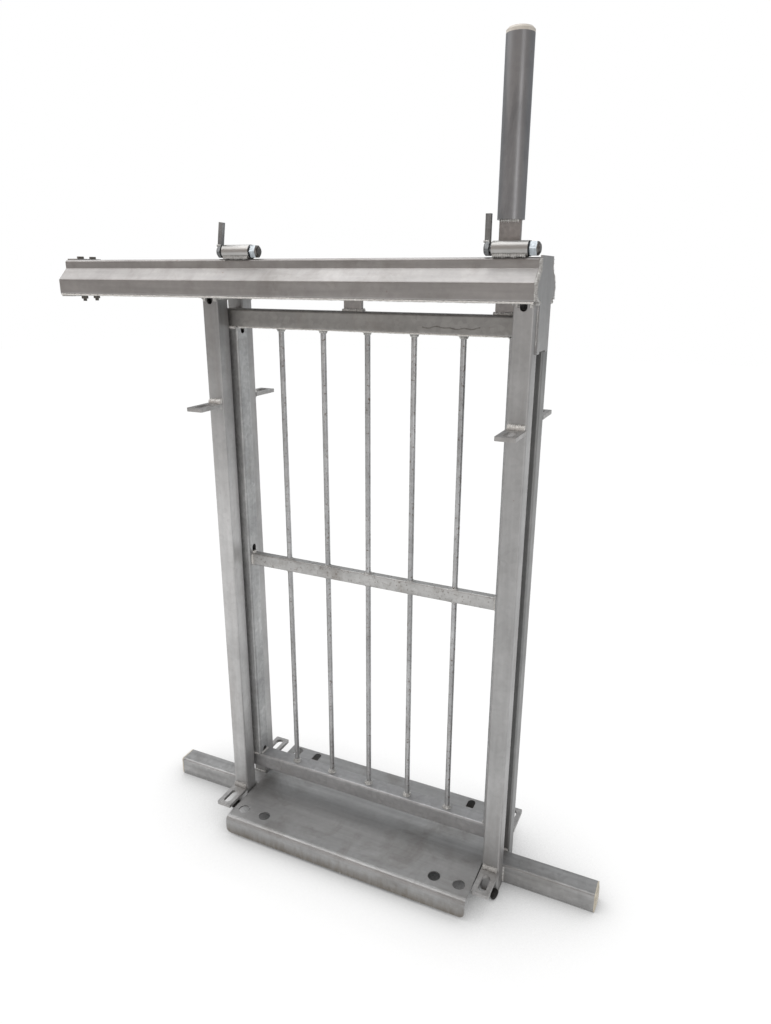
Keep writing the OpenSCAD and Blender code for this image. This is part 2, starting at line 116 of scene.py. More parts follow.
def add_node(tree: Tree, kind: str, inputs: dict[str | int, Value] | None = None, **props: object) -> Node:
    """Adds one node with its settings, values and links.

    Args:
        tree: Node tree that gets the node.
        kind: Blender's type name of the node.
        inputs: Value, source socket or source node for each input, by name or index. A node
            stands for its first output that is in use.
        **props: Properties of the node, set before its inputs.

    Returns:
        The new node.
    """
    node = tree.nodes.new(kind)
    for key, value in props.items():
        setattr(node, key, value)
    for key, value in (inputs or {}).items():
        if isinstance(value, Node):
            value = next(socket for socket in value.outputs if socket.enabled)
        if isinstance(value, Socket):
            tree.links.new(value, node.inputs[key])
        else:
            node.inputs[key].default_value = value
    return node


def new_material(name: str) -> tuple[bpy.types.Material, Tree]:
    """Makes an empty node material.

    Args:
        name: Name of the real material and how it was finished.

    Returns:
        The material and its cleared node tree.
    """
    material = bpy.data.materials.new(name)
    material.use_nodes = True
    material.node_tree.nodes.clear()
    return material, material.node_tree


def close_surface(
    tree: Tree, relief: Node, strength: float, depth_mm: float, shading: dict[str, Value]
) -> None:
    """Ends a material in a bumped surface.

    Args:
        tree: The material's node tree.
        relief: Pattern that raises the surface.
        strength: Share of the relief that shows.
        depth_mm: Height of the relief.
        shading: Base colour, roughness and metallic share.
    """
    bump = add_node(tree, "ShaderNodeBump", {
        "Height": relief, "Strength": strength, "Distance": depth_mm * MM})
    shader = add_node(tree, "ShaderNodeBsdfPrincipled", {**shading, "Normal": bump})
    add_node(tree, "ShaderNodeOutputMaterial", {"Surface": shader})


@dataclass(frozen=True)
class ZincFinish:
    """Hot-dip galvanised steel that has dulled outdoors.

    The zinc freezes in faint crystals, dulls in patches, and carries runs, stains and
    small rust specks. The eye sees a soft grey metal with blurred reflections.
    """

    name: str
    light: str
    dark: str
    stain: str = "#77726b"
    rust: str = "#6b4a2e"
    patch_mm: float = 85.0
    spangle_mm: float = 9.0
    spangle_level: float = 0.10
    grain: Grain = Grain.DOWN
    streak_mm: float = 13.0
    streak_level: float = 0.22
    stain_mm: float = 140.0
    stain_level: float = 0.35
    stain_draw: float = 1.0
    speck_mm: float = 16.0
    speck_level: float = 0.5
    speck_from: float = 0.69
    speck_edge: float = 0.07
    roughness: float = 0.46
    rough_spread: float = 0.06
    metallic: float = 0.75
    # Painted light and shade by height: brightness factors at the foot, at mid height and at the head.
    foot_shading: float = 1.0
    mid_shading: float = 1.0
    head_shading: float = 1.0
    coat_mm: float = 7.0
    bump_mm: float = 0.12
    splash_mm: float = 0.0
    splash: str = "#6f6455"
    splash_grit_mm: float = 12.0
    tide_mm: Point | None = None
    tide: str = "#4f4a45"
    tide_bend_mm: float = 45.0
    tide_wave_mm: float = 22.0
    tide_line_mm: float = 1.3
    tide_grit_mm: float = 6.0

    def material(self) -> bpy.types.Material:
        """Builds the finish.

        Returns:
            The finished material.
        """
        material, tree = new_material(self.name)
        place = add_node(tree, "ShaderNodeTexCoord").outputs["Object"]
        patch = add_node(tree, "ShaderNodeTexNoise", {
            "Vector": place, "Scale": MM_PER_M / self.patch_mm, "Detail": 5.0, "Roughness": 0.62})
        share = add_node(tree, "ShaderNodeMapRange", {"Value": patch, "From Min": 0.33, "From Max": 0.68})
        base = add_node(tree, "ShaderNodeMix", {
            SHARE: share, FIRST: hex_rgba(self.dark), SECOND: hex_rgba(self.light)}, data_type="RGBA")
        colour = add_node(tree, "ShaderNodeVectorMath", {
            0: base, "Scale": self._tone_and_shading(tree, place)}, operation="SCALE")
        colour = self._stained(tree, place, colour)
        if self.splash_mm:
            colour = self._splashed(tree, place, colour)
        if self.tide_mm:
            colour = self._tide_marked(tree, place, colour)
        rough = add_node(tree, "ShaderNodeMapRange", {
            "Value": patch, "From Min": 0.25, "From Max": 0.75,
            "To Min": self.roughness + self.rough_spread, "To Max": self.roughness - self.rough_spread})
        uneven = add_node(tree, "ShaderNodeTexNoise", {
            "Vector": place, "Scale": MM_PER_M / self.coat_mm, "Detail": 5.0, "Roughness": 0.6})
        close_surface(tree, uneven, 0.6, self.bump_mm, {
            "Base Color": colour, "Roughness": rough, "Metallic": self.metallic})
        return material

    def _tone_and_shading(self, tree: Tree, place: Socket) -> Node:
        """Brightness from crystals and runs, and light and shade painted by height.

        Args:
            tree: The material's node tree.
            place: Object coordinates.

        Returns:
            Node of a factor around 1.
        """
        crystal = add_node(tree, "ShaderNodeTexVoronoi", {
            "Vector": place, "Scale": MM_PER_M / self.spangle_mm})
        tone = add_node(tree, "ShaderNodeMapRange", {
            "Value": crystal.outputs["Color"],
            "To Min": 1 - self.spangle_level, "To Max": 1 + self.spangle_level})
        drawn = add_node(tree, "ShaderNodeMapping", {"Vector": place, "Scale": self.grain.value})
        streak = add_node(tree, "ShaderNodeTexNoise", {
            "Vector": drawn, "Scale": MM_PER_M / self.streak_mm, "Detail": 3.0, "Roughness": 0.55})
        streak_tone = add_node(tree, "ShaderNodeMapRange", {
            "Value": streak, "From Min": 0.3, "From Max": 0.7,
            "To Min": 1 - self.streak_level, "To Max": 1 + self.streak_level})
        height = add_node(tree, "ShaderNodeSeparateXYZ", {"Vector": place}).outputs["Z"]
        # Painted light and shade: the zinc is made brighter or darker by height, where light falls on it.
        low_shading = add_node(tree, "ShaderNodeMapRange", {
            "Value": height, "From Min": 0.1, "From Max": 0.7,
            "To Min": self.foot_shading, "To Max": self.mid_shading})
        high_shading = add_node(tree, "ShaderNodeMapRange", {
            "Value": height, "From Min": 0.8, "From Max": 1.3,
            "To Min": 1.0, "To Max": self.head_shading / self.mid_shading})
        for part in (streak_tone, low_shading, high_shading):
            tone = add_node(tree, "ShaderNodeMath", {0: tone, 1: part}, operation="MULTIPLY")
        return tone

    def _stained(self, tree: Tree, place: Socket, colour: Node) -> Node:
        """Lays stains and rust specks over a colour.

        Args:
            tree: The material's node tree.
            place: Object coordinates.
            colour: Colour of the clean zinc.

        Returns:
            Node of the stained colour.
        """
        drawn = add_node(tree, "ShaderNodeMapping", {"Vector": place, "Scale": (1.0, 1.0, self.stain_draw)})
        blot = add_node(tree, "ShaderNodeTexNoise", {
            "Vector": drawn, "Scale": MM_PER_M / self.stain_mm,
            "Detail": 7.0, "Roughness": 0.68, "Distortion": 0.6})
        blot_share = add_node(tree, "ShaderNodeMapRange", {
            "Value": blot, "From Min": 0.52, "From Max": 0.72, "To Max": self.stain_level})
        dirty = add_node(tree, "ShaderNodeMix", {
            SHARE: blot_share, FIRST: colour, SECOND: hex_rgba(self.stain)}, data_type="RGBA")
        speck = add_node(tree, "ShaderNodeTexNoise", {
            "Vector": place, "Scale": MM_PER_M / self.speck_mm, "Detail": 4.0, "Roughness": 0.7})
        speck_share = add_node(tree, "ShaderNodeMapRange", {
            "Value": speck, "From Min": self.speck_from, "From Max": self.speck_from + self.speck_edge,
            "To Max": self.speck_level})
        return add_node(tree, "ShaderNodeMix", {
            SHARE: speck_share, FIRST: dirty, SECOND: hex_rgba(self.rust)}, data_type="RGBA")

    def _splashed(self, tree: Tree, place: Socket, colour: Node) -> Node:
        """Lays dried mud low on a piece, with a ragged upper edge.

        Args:
            tree: The material's node tree.
            place: Object coordinates.
            colour: Colour of the stained zinc.

        Returns:
            Node of the splashed colour.
        """
        height = add_node(tree, "ShaderNodeSeparateXYZ", {"Vector": place}).outputs["Z"]
        drawn = add_node(tree, "ShaderNodeMapping", {"Vector": place, "Scale": (1.0, 1.0, 0.25)})
        ragged = add_node(tree, "ShaderNodeTexNoise", {
            "Vector": drawn, "Scale": MM_PER_M / self.splash_grit_mm, "Detail": 5.0, "Roughness": 0.7})
        reach = self.splash_mm * MM
        edge = add_node(tree, "ShaderNodeMath", {0: ragged, 1: reach, 2: height}, operation="MULTIPLY_ADD")
        share = add_node(tree, "ShaderNodeMapRange", {
            "Value": edge, "From Min": 1.35 * reach, "From Max": 0.6 * reach, "To Max": 0.7})
        return add_node(tree, "ShaderNodeMix", {
            SHARE: share, FIRST: colour, SECOND: hex_rgba(self.splash)}, data_type="RGBA")

    def _tide_marked(self, tree: Tree, place: Socket, colour: Node) -> Node:
        """Draws the dark wavy line where a wet patch dried.

        Args:
            tree: The material's node tree.
            place: Object coordinates.
            colour: Colour of the stained zinc.

        Returns:
            Node of the marked colour.
        """
        start, end, height = (value * MM for value in self.tide_mm)
        wave_h = self.tide_wave_mm * MM
        axes = add_node(tree, "ShaderNodeSeparateXYZ", {"Vector": place})
        level = add_node(tree, "ShaderNodeMapping", {"Vector": place, "Scale": (1.0, 0.0, 0.0)})
        wave = add_node(tree, "ShaderNodeTexNoise", {
            "Vector": level, "Scale": MM_PER_M / self.tide_bend_mm, "Detail": 1.0})
        crest = add_node(tree, "ShaderNodeMath", {
            0: wave, 1: wave_h, 2: height - wave_h / 2}, operation="MULTIPLY_ADD")
        on_line = add_node(tree, "ShaderNodeMath", {
            0: axes.outputs["Z"], 1: crest, 2: self.tide_line_mm * MM}, operation="COMPARE")
        in_span = add_node(tree, "ShaderNodeMath", {
            0: axes.outputs["X"], 1: (start + end) / 2, 2: (end - start) / 2}, operation="COMPARE")
        grit = add_node(tree, "ShaderNodeTexNoise", {
            "Vector": place, "Scale": MM_PER_M / self.tide_grit_mm, "Detail": 3.0})
        share = add_node(tree, "ShaderNodeMath", {0: on_line, 1: in_span}, operation="MULTIPLY")
        broken = add_node(tree, "ShaderNodeMath", {0: share, 1: grit}, operation="MULTIPLY")
        return add_node(tree, "ShaderNodeMix", {
            SHARE: broken, FIRST: colour, SECOND: hex_rgba(self.tide)}, data_type="RGBA")


@dataclass(frozen=True)
class PlainFinish:
    """A moulded, plated or turned surface with fine mottling and a little grime."""

    name: str
    colour: str
    grime: str
    metallic: float
    roughness: float
    rough_spread: float = 0.08
    mottle_mm: float = 6.0
    grime_mm: float = 18.0
    grime_level: float = 0.35
    bump_mm: float = 0.05

    def material(self) -> bpy.types.Material:
        """Builds the finish.

        Returns:
            The finished material.
        """
        material, tree = new_material(self.name)
        place = add_node(tree, "ShaderNodeTexCoord").outputs["Object"]
        mottle = add_node(tree, "ShaderNodeTexNoise", {
            "Vector": place, "Scale": MM_PER_M / self.mottle_mm, "Detail": 4.0})
        grime = add_node(tree, "ShaderNodeTexNoise", {
            "Vector": place, "Scale": MM_PER_M / self.grime_mm, "Detail": 6.0, "Roughness": 0.65})
        share = add_node(tree, "ShaderNodeMapRange", {
            "Value": grime, "From Min": 0.45, "From Max": 0.75, "To Max": self.grime_level})
        colour = add_node(tree, "ShaderNodeMix", {
            SHARE: share, FIRST: hex_rgba(self.colour), SECOND: hex_rgba(self.grime)}, data_type="RGBA")
        rough = add_node(tree, "ShaderNodeMapRange", {
            "Value": mottle,
            "To Min": self.roughness - self.rough_spread, "To Max": self.roughness + self.rough_spread})
        close_surface(tree, mottle, 0.5, self.bump_mm, {
            "Base Color": colour, "Roughness": rough, "Metallic": self.metallic})
        return material


@dataclass(frozen=True)
class BoltFinish:
    """A bolt with its washer and nut, whose plating has dulled by stretches along X.

    The head is grey and pitted, the washer nearly black, and the nut still bluish white.
    """

    name: str
    stretches: tuple[tuple[float, str], ...]
    metallic: float = 0.9
    roughness: float = 0.4
    pit_mm: float = 4.0
    bump_mm: float = 0.15

    def material(self) -> bpy.types.Material:
        """Builds the finish.

        Returns:
            The finished material.
        """
        material, tree = new_material(self.name)
        place = add_node(tree, "ShaderNodeTexCoord").outputs["Object"]
        axes = add_node(tree, "ShaderNodeSeparateXYZ", {"Vector": place})
        first, last = self.stretches[0][0], self.stretches[-1][0]
        along = add_node(tree, "ShaderNodeMapRange", {
            "Value": axes.outputs["X"], "From Min": first, "From Max": last})
        stretch = add_node(tree, "ShaderNodeValToRGB", {"Fac": along})
        ramp = stretch.color_ramp
        ramp.interpolation = "CONSTANT"
        ramp.elements.remove(ramp.elements[1])
        ramp.elements[0].position = 0.0
        ramp.elements[0].color = hex_rgba(self.stretches[0][1])
        below_end = 0.999
        for x, colour in self.stretches[1:]:
            ramp.elements.new(below_end * (x - first) / (last - first)).color = hex_rgba(colour)
        pits = add_node(tree, "ShaderNodeTexNoise", {
            "Vector": place, "Scale": MM_PER_M / self.pit_mm, "Detail": 5.0})
        tone = add_node(tree, "ShaderNodeMapRange", {
            "Value": pits, "From Min": 0.3, "From Max": 0.7, "To Min": 0.72, "To Max": 1.12})
        toned = add_node(tree, "ShaderNodeVectorMath", {0: stretch, "Scale": tone}, operation="SCALE")
        close_surface(tree, pits, 0.6, self.bump_mm, {
            "Base Color": toned, "Roughness": self.roughness, "Metallic": self.metallic})
        return material


Finish = ZincFinish | PlainFinish | BoltFinish

# Even, pale grey tube with faint runs down it and dried mud at its foot, in painted shade that darkens it a
# little, most towards its head.
POST_ZINC = ZincFinish(
    "galvanised post tube", "#bababa", "#aeaeae", foot_shading=0.9, mid_shading=0.88, head_shading=0.86,
    spangle_level=0.05, streak_level=0.07, stain="#887e78", stain_mm=42.0, stain_level=0.3, stain_draw=0.12,
    splash_mm=20.0, splash="#4c453d")
# The same tube, with painted light that makes it palest at mid height and a painted shadow that makes it much
# darker under the track.
LIT_POST_ZINC = replace(
    POST_ZINC, name="galvanised post tube, painted light and shadow", light="#c1c1c1", dark="#b6b6b6",
    foot_shading=0.96, mid_shading=1.2, head_shading=0.6)
# The same tube in painted shade, a darker grey all the way up.
SHADED_POST_ZINC = replace(
    POST_ZINC, name="galvanised post tube, painted shade", light="#999a9a", dark="#8c8d8d", foot_shading=0.8)
# Soft grey tube with scuffs drawn along it.
FOOT_ZINC = ZincFinish(
    "galvanised foot bar tube", "#b3b3b3", "#a3a3a3", grain=Grain.ALONG, streak_level=0.14, stain_level=0.3)
# Small plates with finer crystals and no direction in their scuffs.
LUG_ZINC = ZincFinish(
    "galvanised lug plate", "#b9b8b7", "#a5a4a3", grain=Grain.NONE, spangle_mm=6.0, streak_level=0.12,
    stain="#7f7a74", stain_level=0.3)
# Clean, nearly even grey plate.
PLATE_ZINC = ZincFinish(
    "galvanised flat plate", "#b4b4b4", "#acacac", streak_level=0.06, spangle_level=0.05, stain_level=0.15)
# Sheet worn smooth underfoot, with brown blots and mud along its lip.
TREAD_ZINC = ZincFinish(
    "galvanised tread sheet, trodden", "#aeaeae", "#a4a4a4", grain=Grain.ALONG, streak_mm=11.0,
    streak_level=0.08, spangle_level=0.04, stain="#6b645b", stain_level=0.42, stain_mm=105.0,
    speck_level=0.4, splash_mm=44.0)
# Rolled sheet with a slight sheen, warmer grey, and cloudy stains along its slope.
TRACK_ZINC = ZincFinish(
    "galvanised track sheet", "#a7a5a4", "#9c9a99", grain=Grain.ALONG, streak_mm=9.0, streak_level=0.07,
    spangle_level=0.04, roughness=0.4, rough_spread=0.03, stain_mm=90.0, stain="#76716b", stain_level=0.4)
# Grey tube with long, broad scuffs.
GATE_ZINC = ZincFinish(
    "galvanised gate tube", "#b2b2b3", "#a3a3a4", grain=Grain.ALONG, streak_mm=22.0, streak_level=0.1)
# The same tube, darker as painted shade, with one thin wavy line where water dried.
SHADED_HEAD_ZINC = replace(
    GATE_ZINC, name="galvanised gate tube in painted shade, with a tide mark", light="#a09f9d", dark="#939290", stain="#857a70",
    tide_mm=(132.0, 252.0, 1267.0))
# The same tube in painted light, pale, with brown blots and many small specks.
LIT_MID_ZINC = replace(
    GATE_ZINC, name="galvanised gate tube in painted light, blotted", light="#c2c2c1", dark="#b1b1b0", stain="#7b7064",
    stain_mm=60.0, stain_level=0.5, rust="#584a3b", speck_mm=6.0, speck_from=0.58, speck_level=0.6)
# Grey tube with clear crystals and soft runs down it.
STILE_ZINC = ZincFinish(
    "galvanised gate stile tube", "#b5b6b6", "#9fa0a1", spangle_mm=7.0, spangle_level=0.13, streak_mm=16.0,
    streak_level=0.14)
# Flat bar with the same crystals, a little darker and warmer as painted shade.
SHADED_HANGER_ZINC = replace(STILE_ZINC, name="galvanised flat bar in painted shade", light="#aeaaa8", dark="#9b9795")
# Pale round bar with a narrow sheen and many dark rust specks.
BAR_ZINC = ZincFinish(
    "galvanised round bar", "#bcbdbe", "#a6a7a8", streak_mm=9.0, streak_level=0.15, rust="#5d4a38",
    speck_mm=6.0, speck_from=0.57, speck_level=0.85, roughness=0.4)
# Smooth drawn tube, the shiniest zinc here, with a clear light band along its top.
TUBE_ZINC = ZincFinish(
    "galvanised drawn tube", "#bbbab8", "#adacaa", grain=Grain.ALONG, streak_mm=5.0, streak_level=0.1,
    spangle_level=0.03, stain_level=0.15, roughness=0.37, rough_spread=0.02, metallic=0.8, bump_mm=0.04)
# Cool, dark tube that hands polish, with long bluish runs down it.
GRIP_ZINC = ZincFinish(
    "galvanised handle tube with runs", "#9b9c9e", "#919295", streak_mm=14.0, streak_level=0.06,
    spangle_level=0.03, stain="#5f6266", stain_mm=38.0, stain_level=0.5, stain_draw=0.16, roughness=0.37,
    rough_spread=0.03)
# Lumpy bead, mottled from nearly white to mid grey.
WELD_ZINC = ZincFinish(
    "galvanised weld bead", "#d8d8d6", "#a3a3a1", patch_mm=6.0, spangle_mm=3.0, grain=Grain.NONE,
    streak_level=0.06, speck_level=0.2, stain_mm=22.0, stain="#716e6a", stain_level=0.5, roughness=0.42,
    metallic=0.45, bump_mm=0.4)
# Bead under so much zinc that it looks white and matt, and greyer near the ground.
THICK_WELD_ZINC = replace(
    WELD_ZINC, name="galvanised weld bead, thick coat", light="#f6f5f2", dark="#d8d7d4", foot_shading=0.62,
    stain_level=0.2, metallic=0.2)
# Thin ridge of zinc along a lower edge, painted white as the highlight its rounded corner catches from the
# floor.
EDGE_HIGHLIGHT_ZINC = replace(
    WELD_ZINC, name="galvanised sheet edge, painted highlight", light="#f4f3f0", dark="#dcdbd8", stain_level=0.1,
    metallic=0.1, bump_mm=0.15)
# Dark bar with close, strong streaks from handling.
LEVER_ZINC = ZincFinish(
    "galvanised lever bar, handled", "#9b9c9c", "#7f8081", streak_mm=5.0, streak_level=0.25, roughness=0.42)
# Bright, bluish and sharp in its reflections.
PLATED = PlainFinish("zinc plated fastener", "#c4ccd2", "#868c92", 1.0, 0.3)
# The same plating gone brownish grey and blunt.
DULL_PLATED = PlainFinish("zinc plated fastener, weathered", "#7d7a76", "#4e463c", 1.0, 0.5, grime_level=0.6)
# Dark metal with black grease in patches.
ROLLER_STEEL = PlainFinish("turned roller steel, greased", "#6b6a68", "#2f2c28", 1.0, 0.38, grime_level=0.7)
# Cream plastic with a dull sheen and brown dirt.
CAP_PLASTIC = PlainFinish("moulded polyethylene cap", "#e3dccb", "#8a7c66", 0.0, 0.5, grime_level=0.5)
# Cleaner, whiter plastic.
WHITE_PLASTIC = PlainFinish("moulded white polyethylene cap", "#e6e1d8", "#b5ab9b", 0.0, 0.5)
# Nearly black, with a broad weak highlight.
BLACK_RUBBER = PlainFinish("moulded black rubber", "#191816", "#2d2a26", 0.0, 0.62)


@dataclass
class FinishRack:
    """Materials that have been made, each one once."""

    made: dict[str, bpy.types.Material] = field(default_factory=dict)

    def get(self, finish: Finish) -> bpy.types.Material:
        """Gives the material of a finish, and makes it at the first call.

        Args:
            finish: Finish to look up.

        Returns:
            Its material.
        """
        if finish.name not in self.made:
            self.made[finish.name] = finish.material()
        return self.made[finish.name]


RACK = FinishRack()


@dataclass(frozen=True)
class Extent:
    """Box of a CAD node at rest."""

    lo: Vector
    hi: Vector

    @classmethod
    def of(cls, node: str) -> "Extent":
        """Reads the box of a node."""
        return cls(*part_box(node))

    @property
    def mid(self) -> Vector:
        """Middle of the box."""
        return (self.lo + self.hi) / 2


@dataclass(frozen=True)
class Run:
    """A path that a weld bead or a row of drips follows."""

    points: tuple[Point, ...]
    closed: bool = False

    @classmethod
    def along_x(cls, box: Extent, inset: float, y: float, z: float) -> "Run":
        """Straight run along X, from end to end of a box less an inset."""
        return cls(((box.lo.x + inset, y, z), (box.hi.x - inset, y, z)))

    @classmethod
    def along_y(cls, box: Extent, inset: float, x: float, z: float) -> "Run":
        """Straight run along Y, from side to side of a box less an inset."""
        return cls(((x, box.lo.y + inset, z), (x, box.hi.y - inset, z)))

    @classmethod
    def upright(cls, x: float, y: float, start: float, end: float) -> "Run":
        """Straight upright run between two heights."""
        return cls(((x, y, start), (x, y, end)))

    @classmethod
    def ring(cls, middle: Vector, radius: float, z: float) -> "Run":
        """Level ring around a middle line, at a height."""
        turns = [FULL_TURN * i / RING_STEPS for i in range(RING_STEPS)]
        return cls(tuple(
            (middle.x + radius * math.cos(t), middle.y + radius * math.sin(t), z) for t in turns), True)


def path_mesh(name: str, runs: Iterable[Run]) -> bpy.types.Mesh:
    """Makes a mesh of bare edges from runs.

    Args:
        name: Name of the mesh.
        runs: Paths that become chains of edges.

    Returns:
        A mesh with vertices and edges only.
    """
    points: list[Point] = []
    edges: list[tuple[int, int]] = []
    for run in runs:
        first = len(points)
        points.extend(run.points)
        last = len(points) - 1
        edges.extend((i, i + 1) for i in range(first, last))
        if run.closed:
            edges.append((last, first))
    mesh = bpy.data.meshes.new(name)
    mesh.from_pydata(points, edges, [])
    return mesh


def new_piece(name: str, mesh: bpy.types.Mesh) -> Piece:
    """Puts a mesh into the scene as a piece at the origin.

    Args:
        name: Name of the piece.
        mesh: Its mesh.

    Returns:
        The piece.
    """
    piece = bpy.data.objects.new(name, mesh)
    bpy.context.scene.collection.objects.link(piece)
    return piece


def mount(piece: Piece, body: Body) -> None:
    """Rides a new piece on a body.

    Args:
        piece: The finished piece.
        body: Body that carries it.
    """
    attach(piece, body.value)
    LOG.info("piece %s on %s, %d faces", piece.name, body.value, len(piece.data.polygons))


@dataclass
class NodeTool:
    """A Geometry Nodes tree with named inputs that turns paths into a baked piece."""

    name: str
    plan: Callable[[Tree, bpy.types.NodeOutputs], Node]
    sizes: dict[str, float]
    tree: Tree = field(init=False)
    keys: dict[str, str] = field(init=False, default_factory=dict)

    def __post_init__(self) -> None:
        """Builds the tree: inputs, the plan, then realised geometry with its material."""
        self.tree = bpy.data.node_groups.new(self.name, "GeometryNodeTree")
        face = self.tree.interface
        face.new_socket(name="Geometry", in_out="OUTPUT", socket_type="NodeSocketGeometry")
        face.new_socket(name="Paths", in_out="INPUT", socket_type="NodeSocketGeometry")
        for label, value in self.sizes.items():
            kind = "NodeSocketInt" if isinstance(value, int) else "NodeSocketFloat"
            socket = face.new_socket(name=label, in_out="INPUT", socket_type=kind)
            socket.default_value = value
            self.keys[label] = socket.identifier
        coat_socket = face.new_socket(name="Material", in_out="INPUT", socket_type="NodeSocketMaterial")
        self.keys["Material"] = coat_socket.identifier
        given = add_node(self.tree, "NodeGroupInput").outputs
        smooth = add_node(self.tree, "GeometryNodeSetShadeSmooth", {"Geometry": self.plan(self.tree, given)})
        real = add_node(self.tree, "GeometryNodeRealizeInstances", {"Geometry": smooth})
        coated = add_node(self.tree, "GeometryNodeSetMaterial", {
            "Geometry": real, "Material": given["Material"]})
        add_node(self.tree, "NodeGroupOutput", {"Geometry": coated})

    def bake(
        self, name: str, runs: Iterable[Run], finish: Finish, body: Body, slot: Slot = Slot.ZINC,
        **sizes: float
    ) -> None:
        """Runs the tree over paths, keeps its result as a plain mesh and mounts it.

        Args:
            name: Name of the new piece.
            runs: Paths for the tree.
            finish: Finish of the piece.
            body: Body that carries it.
            slot: Material slot of the record; not used.
            **sizes: Values for the tree's inputs that aren't the usual ones.
        """
        piece = new_piece(name, path_mesh(name + "_paths", runs))
        modifier = piece.modifiers.new(self.name, "NODES")
        modifier.node_group = self.tree
        for label, value in sizes.items():
            modifier[self.keys[label]] = value
        modifier[self.keys["Material"]] = RACK.get(finish)
        graph = bpy.context.evaluated_depsgraph_get()
        baked = bpy.data.meshes.new_from_object(piece.evaluated_get(graph), depsgraph=graph)
        baked.name = name
        piece.modifiers.clear()
        piece.data = baked
        mount(piece, body)


def plan_bead(tree: Tree, given: bpy.types.NodeOutputs) -> Node:
    """Plans a rippled weld bead along each path.

    Args:
        tree: Tree that gets the nodes.
        given: The tree's inputs.

    Returns:
        Node of the beads' mesh.
    """
    steps_per_ripple = 4.0
    step = add_node(tree, "ShaderNodeMath", {0: given["Ripple"], 1: steps_per_ripple}, operation="DIVIDE")
    curve = add_node(tree, "GeometryNodeMeshToCurve", {"Mesh": given["Paths"]})
    fine = add_node(tree, "GeometryNodeResampleCurve", {"Curve": curve, "Length": step}, mode="LENGTH")
    spot = add_node(tree, "GeometryNodeInputPosition")
    drift = add_node(tree, "ShaderNodeTexNoise", {
        "Vector": spot, "W": given["Seed"], "Scale": 90.0, "Detail": 2.0}, noise_dimensions="4D")
    centred = add_node(tree, "ShaderNodeVectorMath", {
        0: drift.outputs["Color"], 1: (0.5, 0.5, 0.5)}, operation="SUBTRACT")
    offset = add_node(tree, "ShaderNodeVectorMath", {0: centred, "Scale": given["Wander"]}, operation="SCALE")
    moved = add_node(tree, "GeometryNodeSetPosition", {"Geometry": fine, "Offset": offset})
    along = add_node(tree, "GeometryNodeSplineParameter").outputs["Length"]
    turns = add_node(tree, "ShaderNodeMath", {0: along, 1: given["Ripple"]}, operation="DIVIDE")
    angle = add_node(tree, "ShaderNodeMath", {0: turns, 1: FULL_TURN}, operation="MULTIPLY")
    wave = add_node(tree, "ShaderNodeMath", {0: angle}, operation="SINE")
    swell = add_node(tree, "ShaderNodeMath", {0: wave, 1: given["Depth"], 2: 1.0}, operation="MULTIPLY_ADD")
    lump = add_node(tree, "ShaderNodeMapRange", {
        "Value": drift, "From Min": 0.3, "From Max": 0.7, "To Min": 0.75, "To Max": 1.25})
    uneven = add_node(tree, "ShaderNodeMath", {0: swell, 1: lump}, operation="MULTIPLY")
    radius = add_node(tree, "ShaderNodeMath", {0: uneven, 1: given["Radius"]}, operation="MULTIPLY")
    profile = add_node(tree, "GeometryNodeCurvePrimitiveCircle", {"Resolution": 8, "Radius": 1.0})
    return add_node(tree, "GeometryNodeCurveToMesh", {
        "Curve": moved, "Profile Curve": profile, "Scale": radius, "Fill Caps": True})


def plan_drips(tree: Tree, given: bpy.types.NodeOutputs) -> Node:
    """Plans frozen zinc drips, here and there along each path.

    Args:
        tree: Tree that gets the nodes.
        given: The tree's inputs.

    Returns:
        Node of the drips, still instances.
    """
    smallest, largest, length_share = 0.5, 1.3, 1.7
    curve = add_node(tree, "GeometryNodeMeshToCurve", {"Mesh": given["Paths"]})
    spots = add_node(tree, "GeometryNodeResampleCurve", {
        "Curve": curve, "Length": given["Spacing"]}, mode="LENGTH")
    chosen = add_node(tree, "FunctionNodeRandomValue", {
        "Probability": given["Share"], "Seed": given["Seed"]}, data_type="BOOLEAN")
    scale = add_node(tree, "FunctionNodeRandomValue", {
        2: smallest, 3: largest, "Seed": given["Seed"]}, data_type="FLOAT")
    width = add_node(tree, "ShaderNodeMath", {0: scale, 1: given["Radius"]}, operation="MULTIPLY")
    length = add_node(tree, "ShaderNodeMath", {0: width, 1: length_share}, operation="MULTIPLY")
    size = add_node(tree, "ShaderNodeCombineXYZ", {"X": width, "Y": width, "Z": length})
    drop = add_node(tree, "GeometryNodeMeshUVSphere", {"Segments": 8, "Rings": 5, "Radius": 1.0})
    return add_node(tree, "GeometryNodeInstanceOnPoints", {
        "Points": spots, "Selection": chosen, "Instance": drop, "Scale": size})


def plan_thread(tree: Tree, given: bpy.types.NodeOutputs) -> Node:
    """Plans a screw thread that rises from each point of the paths.

    Args:
        tree: Tree that gets the nodes.
        given: The tree's inputs.

    Returns:
        Node of the threads, still instances.
    """
    crest_share = 0.45
    turns = add_node(tree, "ShaderNodeMath", {0: given["Length"], 1: given["Pitch"]}, operation="DIVIDE")
    helix = add_node(tree, "GeometryNodeCurveSpiral", {
        "Resolution": 24, "Rotations": turns, "Start Radius": given["Radius"],
        "End Radius": given["Radius"], "Height": given["Length"]})
    ridge = add_node(tree, "GeometryNodeCurvePrimitiveCircle", {"Resolution": 4, "Radius": 1.0})
    crest = add_node(tree, "ShaderNodeMath", {0: given["Pitch"], 1: crest_share}, operation="MULTIPLY")
    thread = add_node(tree, "GeometryNodeCurveToMesh", {
        "Curve": helix, "Profile Curve": ridge, "Scale": crest, "Fill Caps": True})
    return add_node(tree, "GeometryNodeInstanceOnPoints", {"Points": given["Paths"], "Instance": thread})


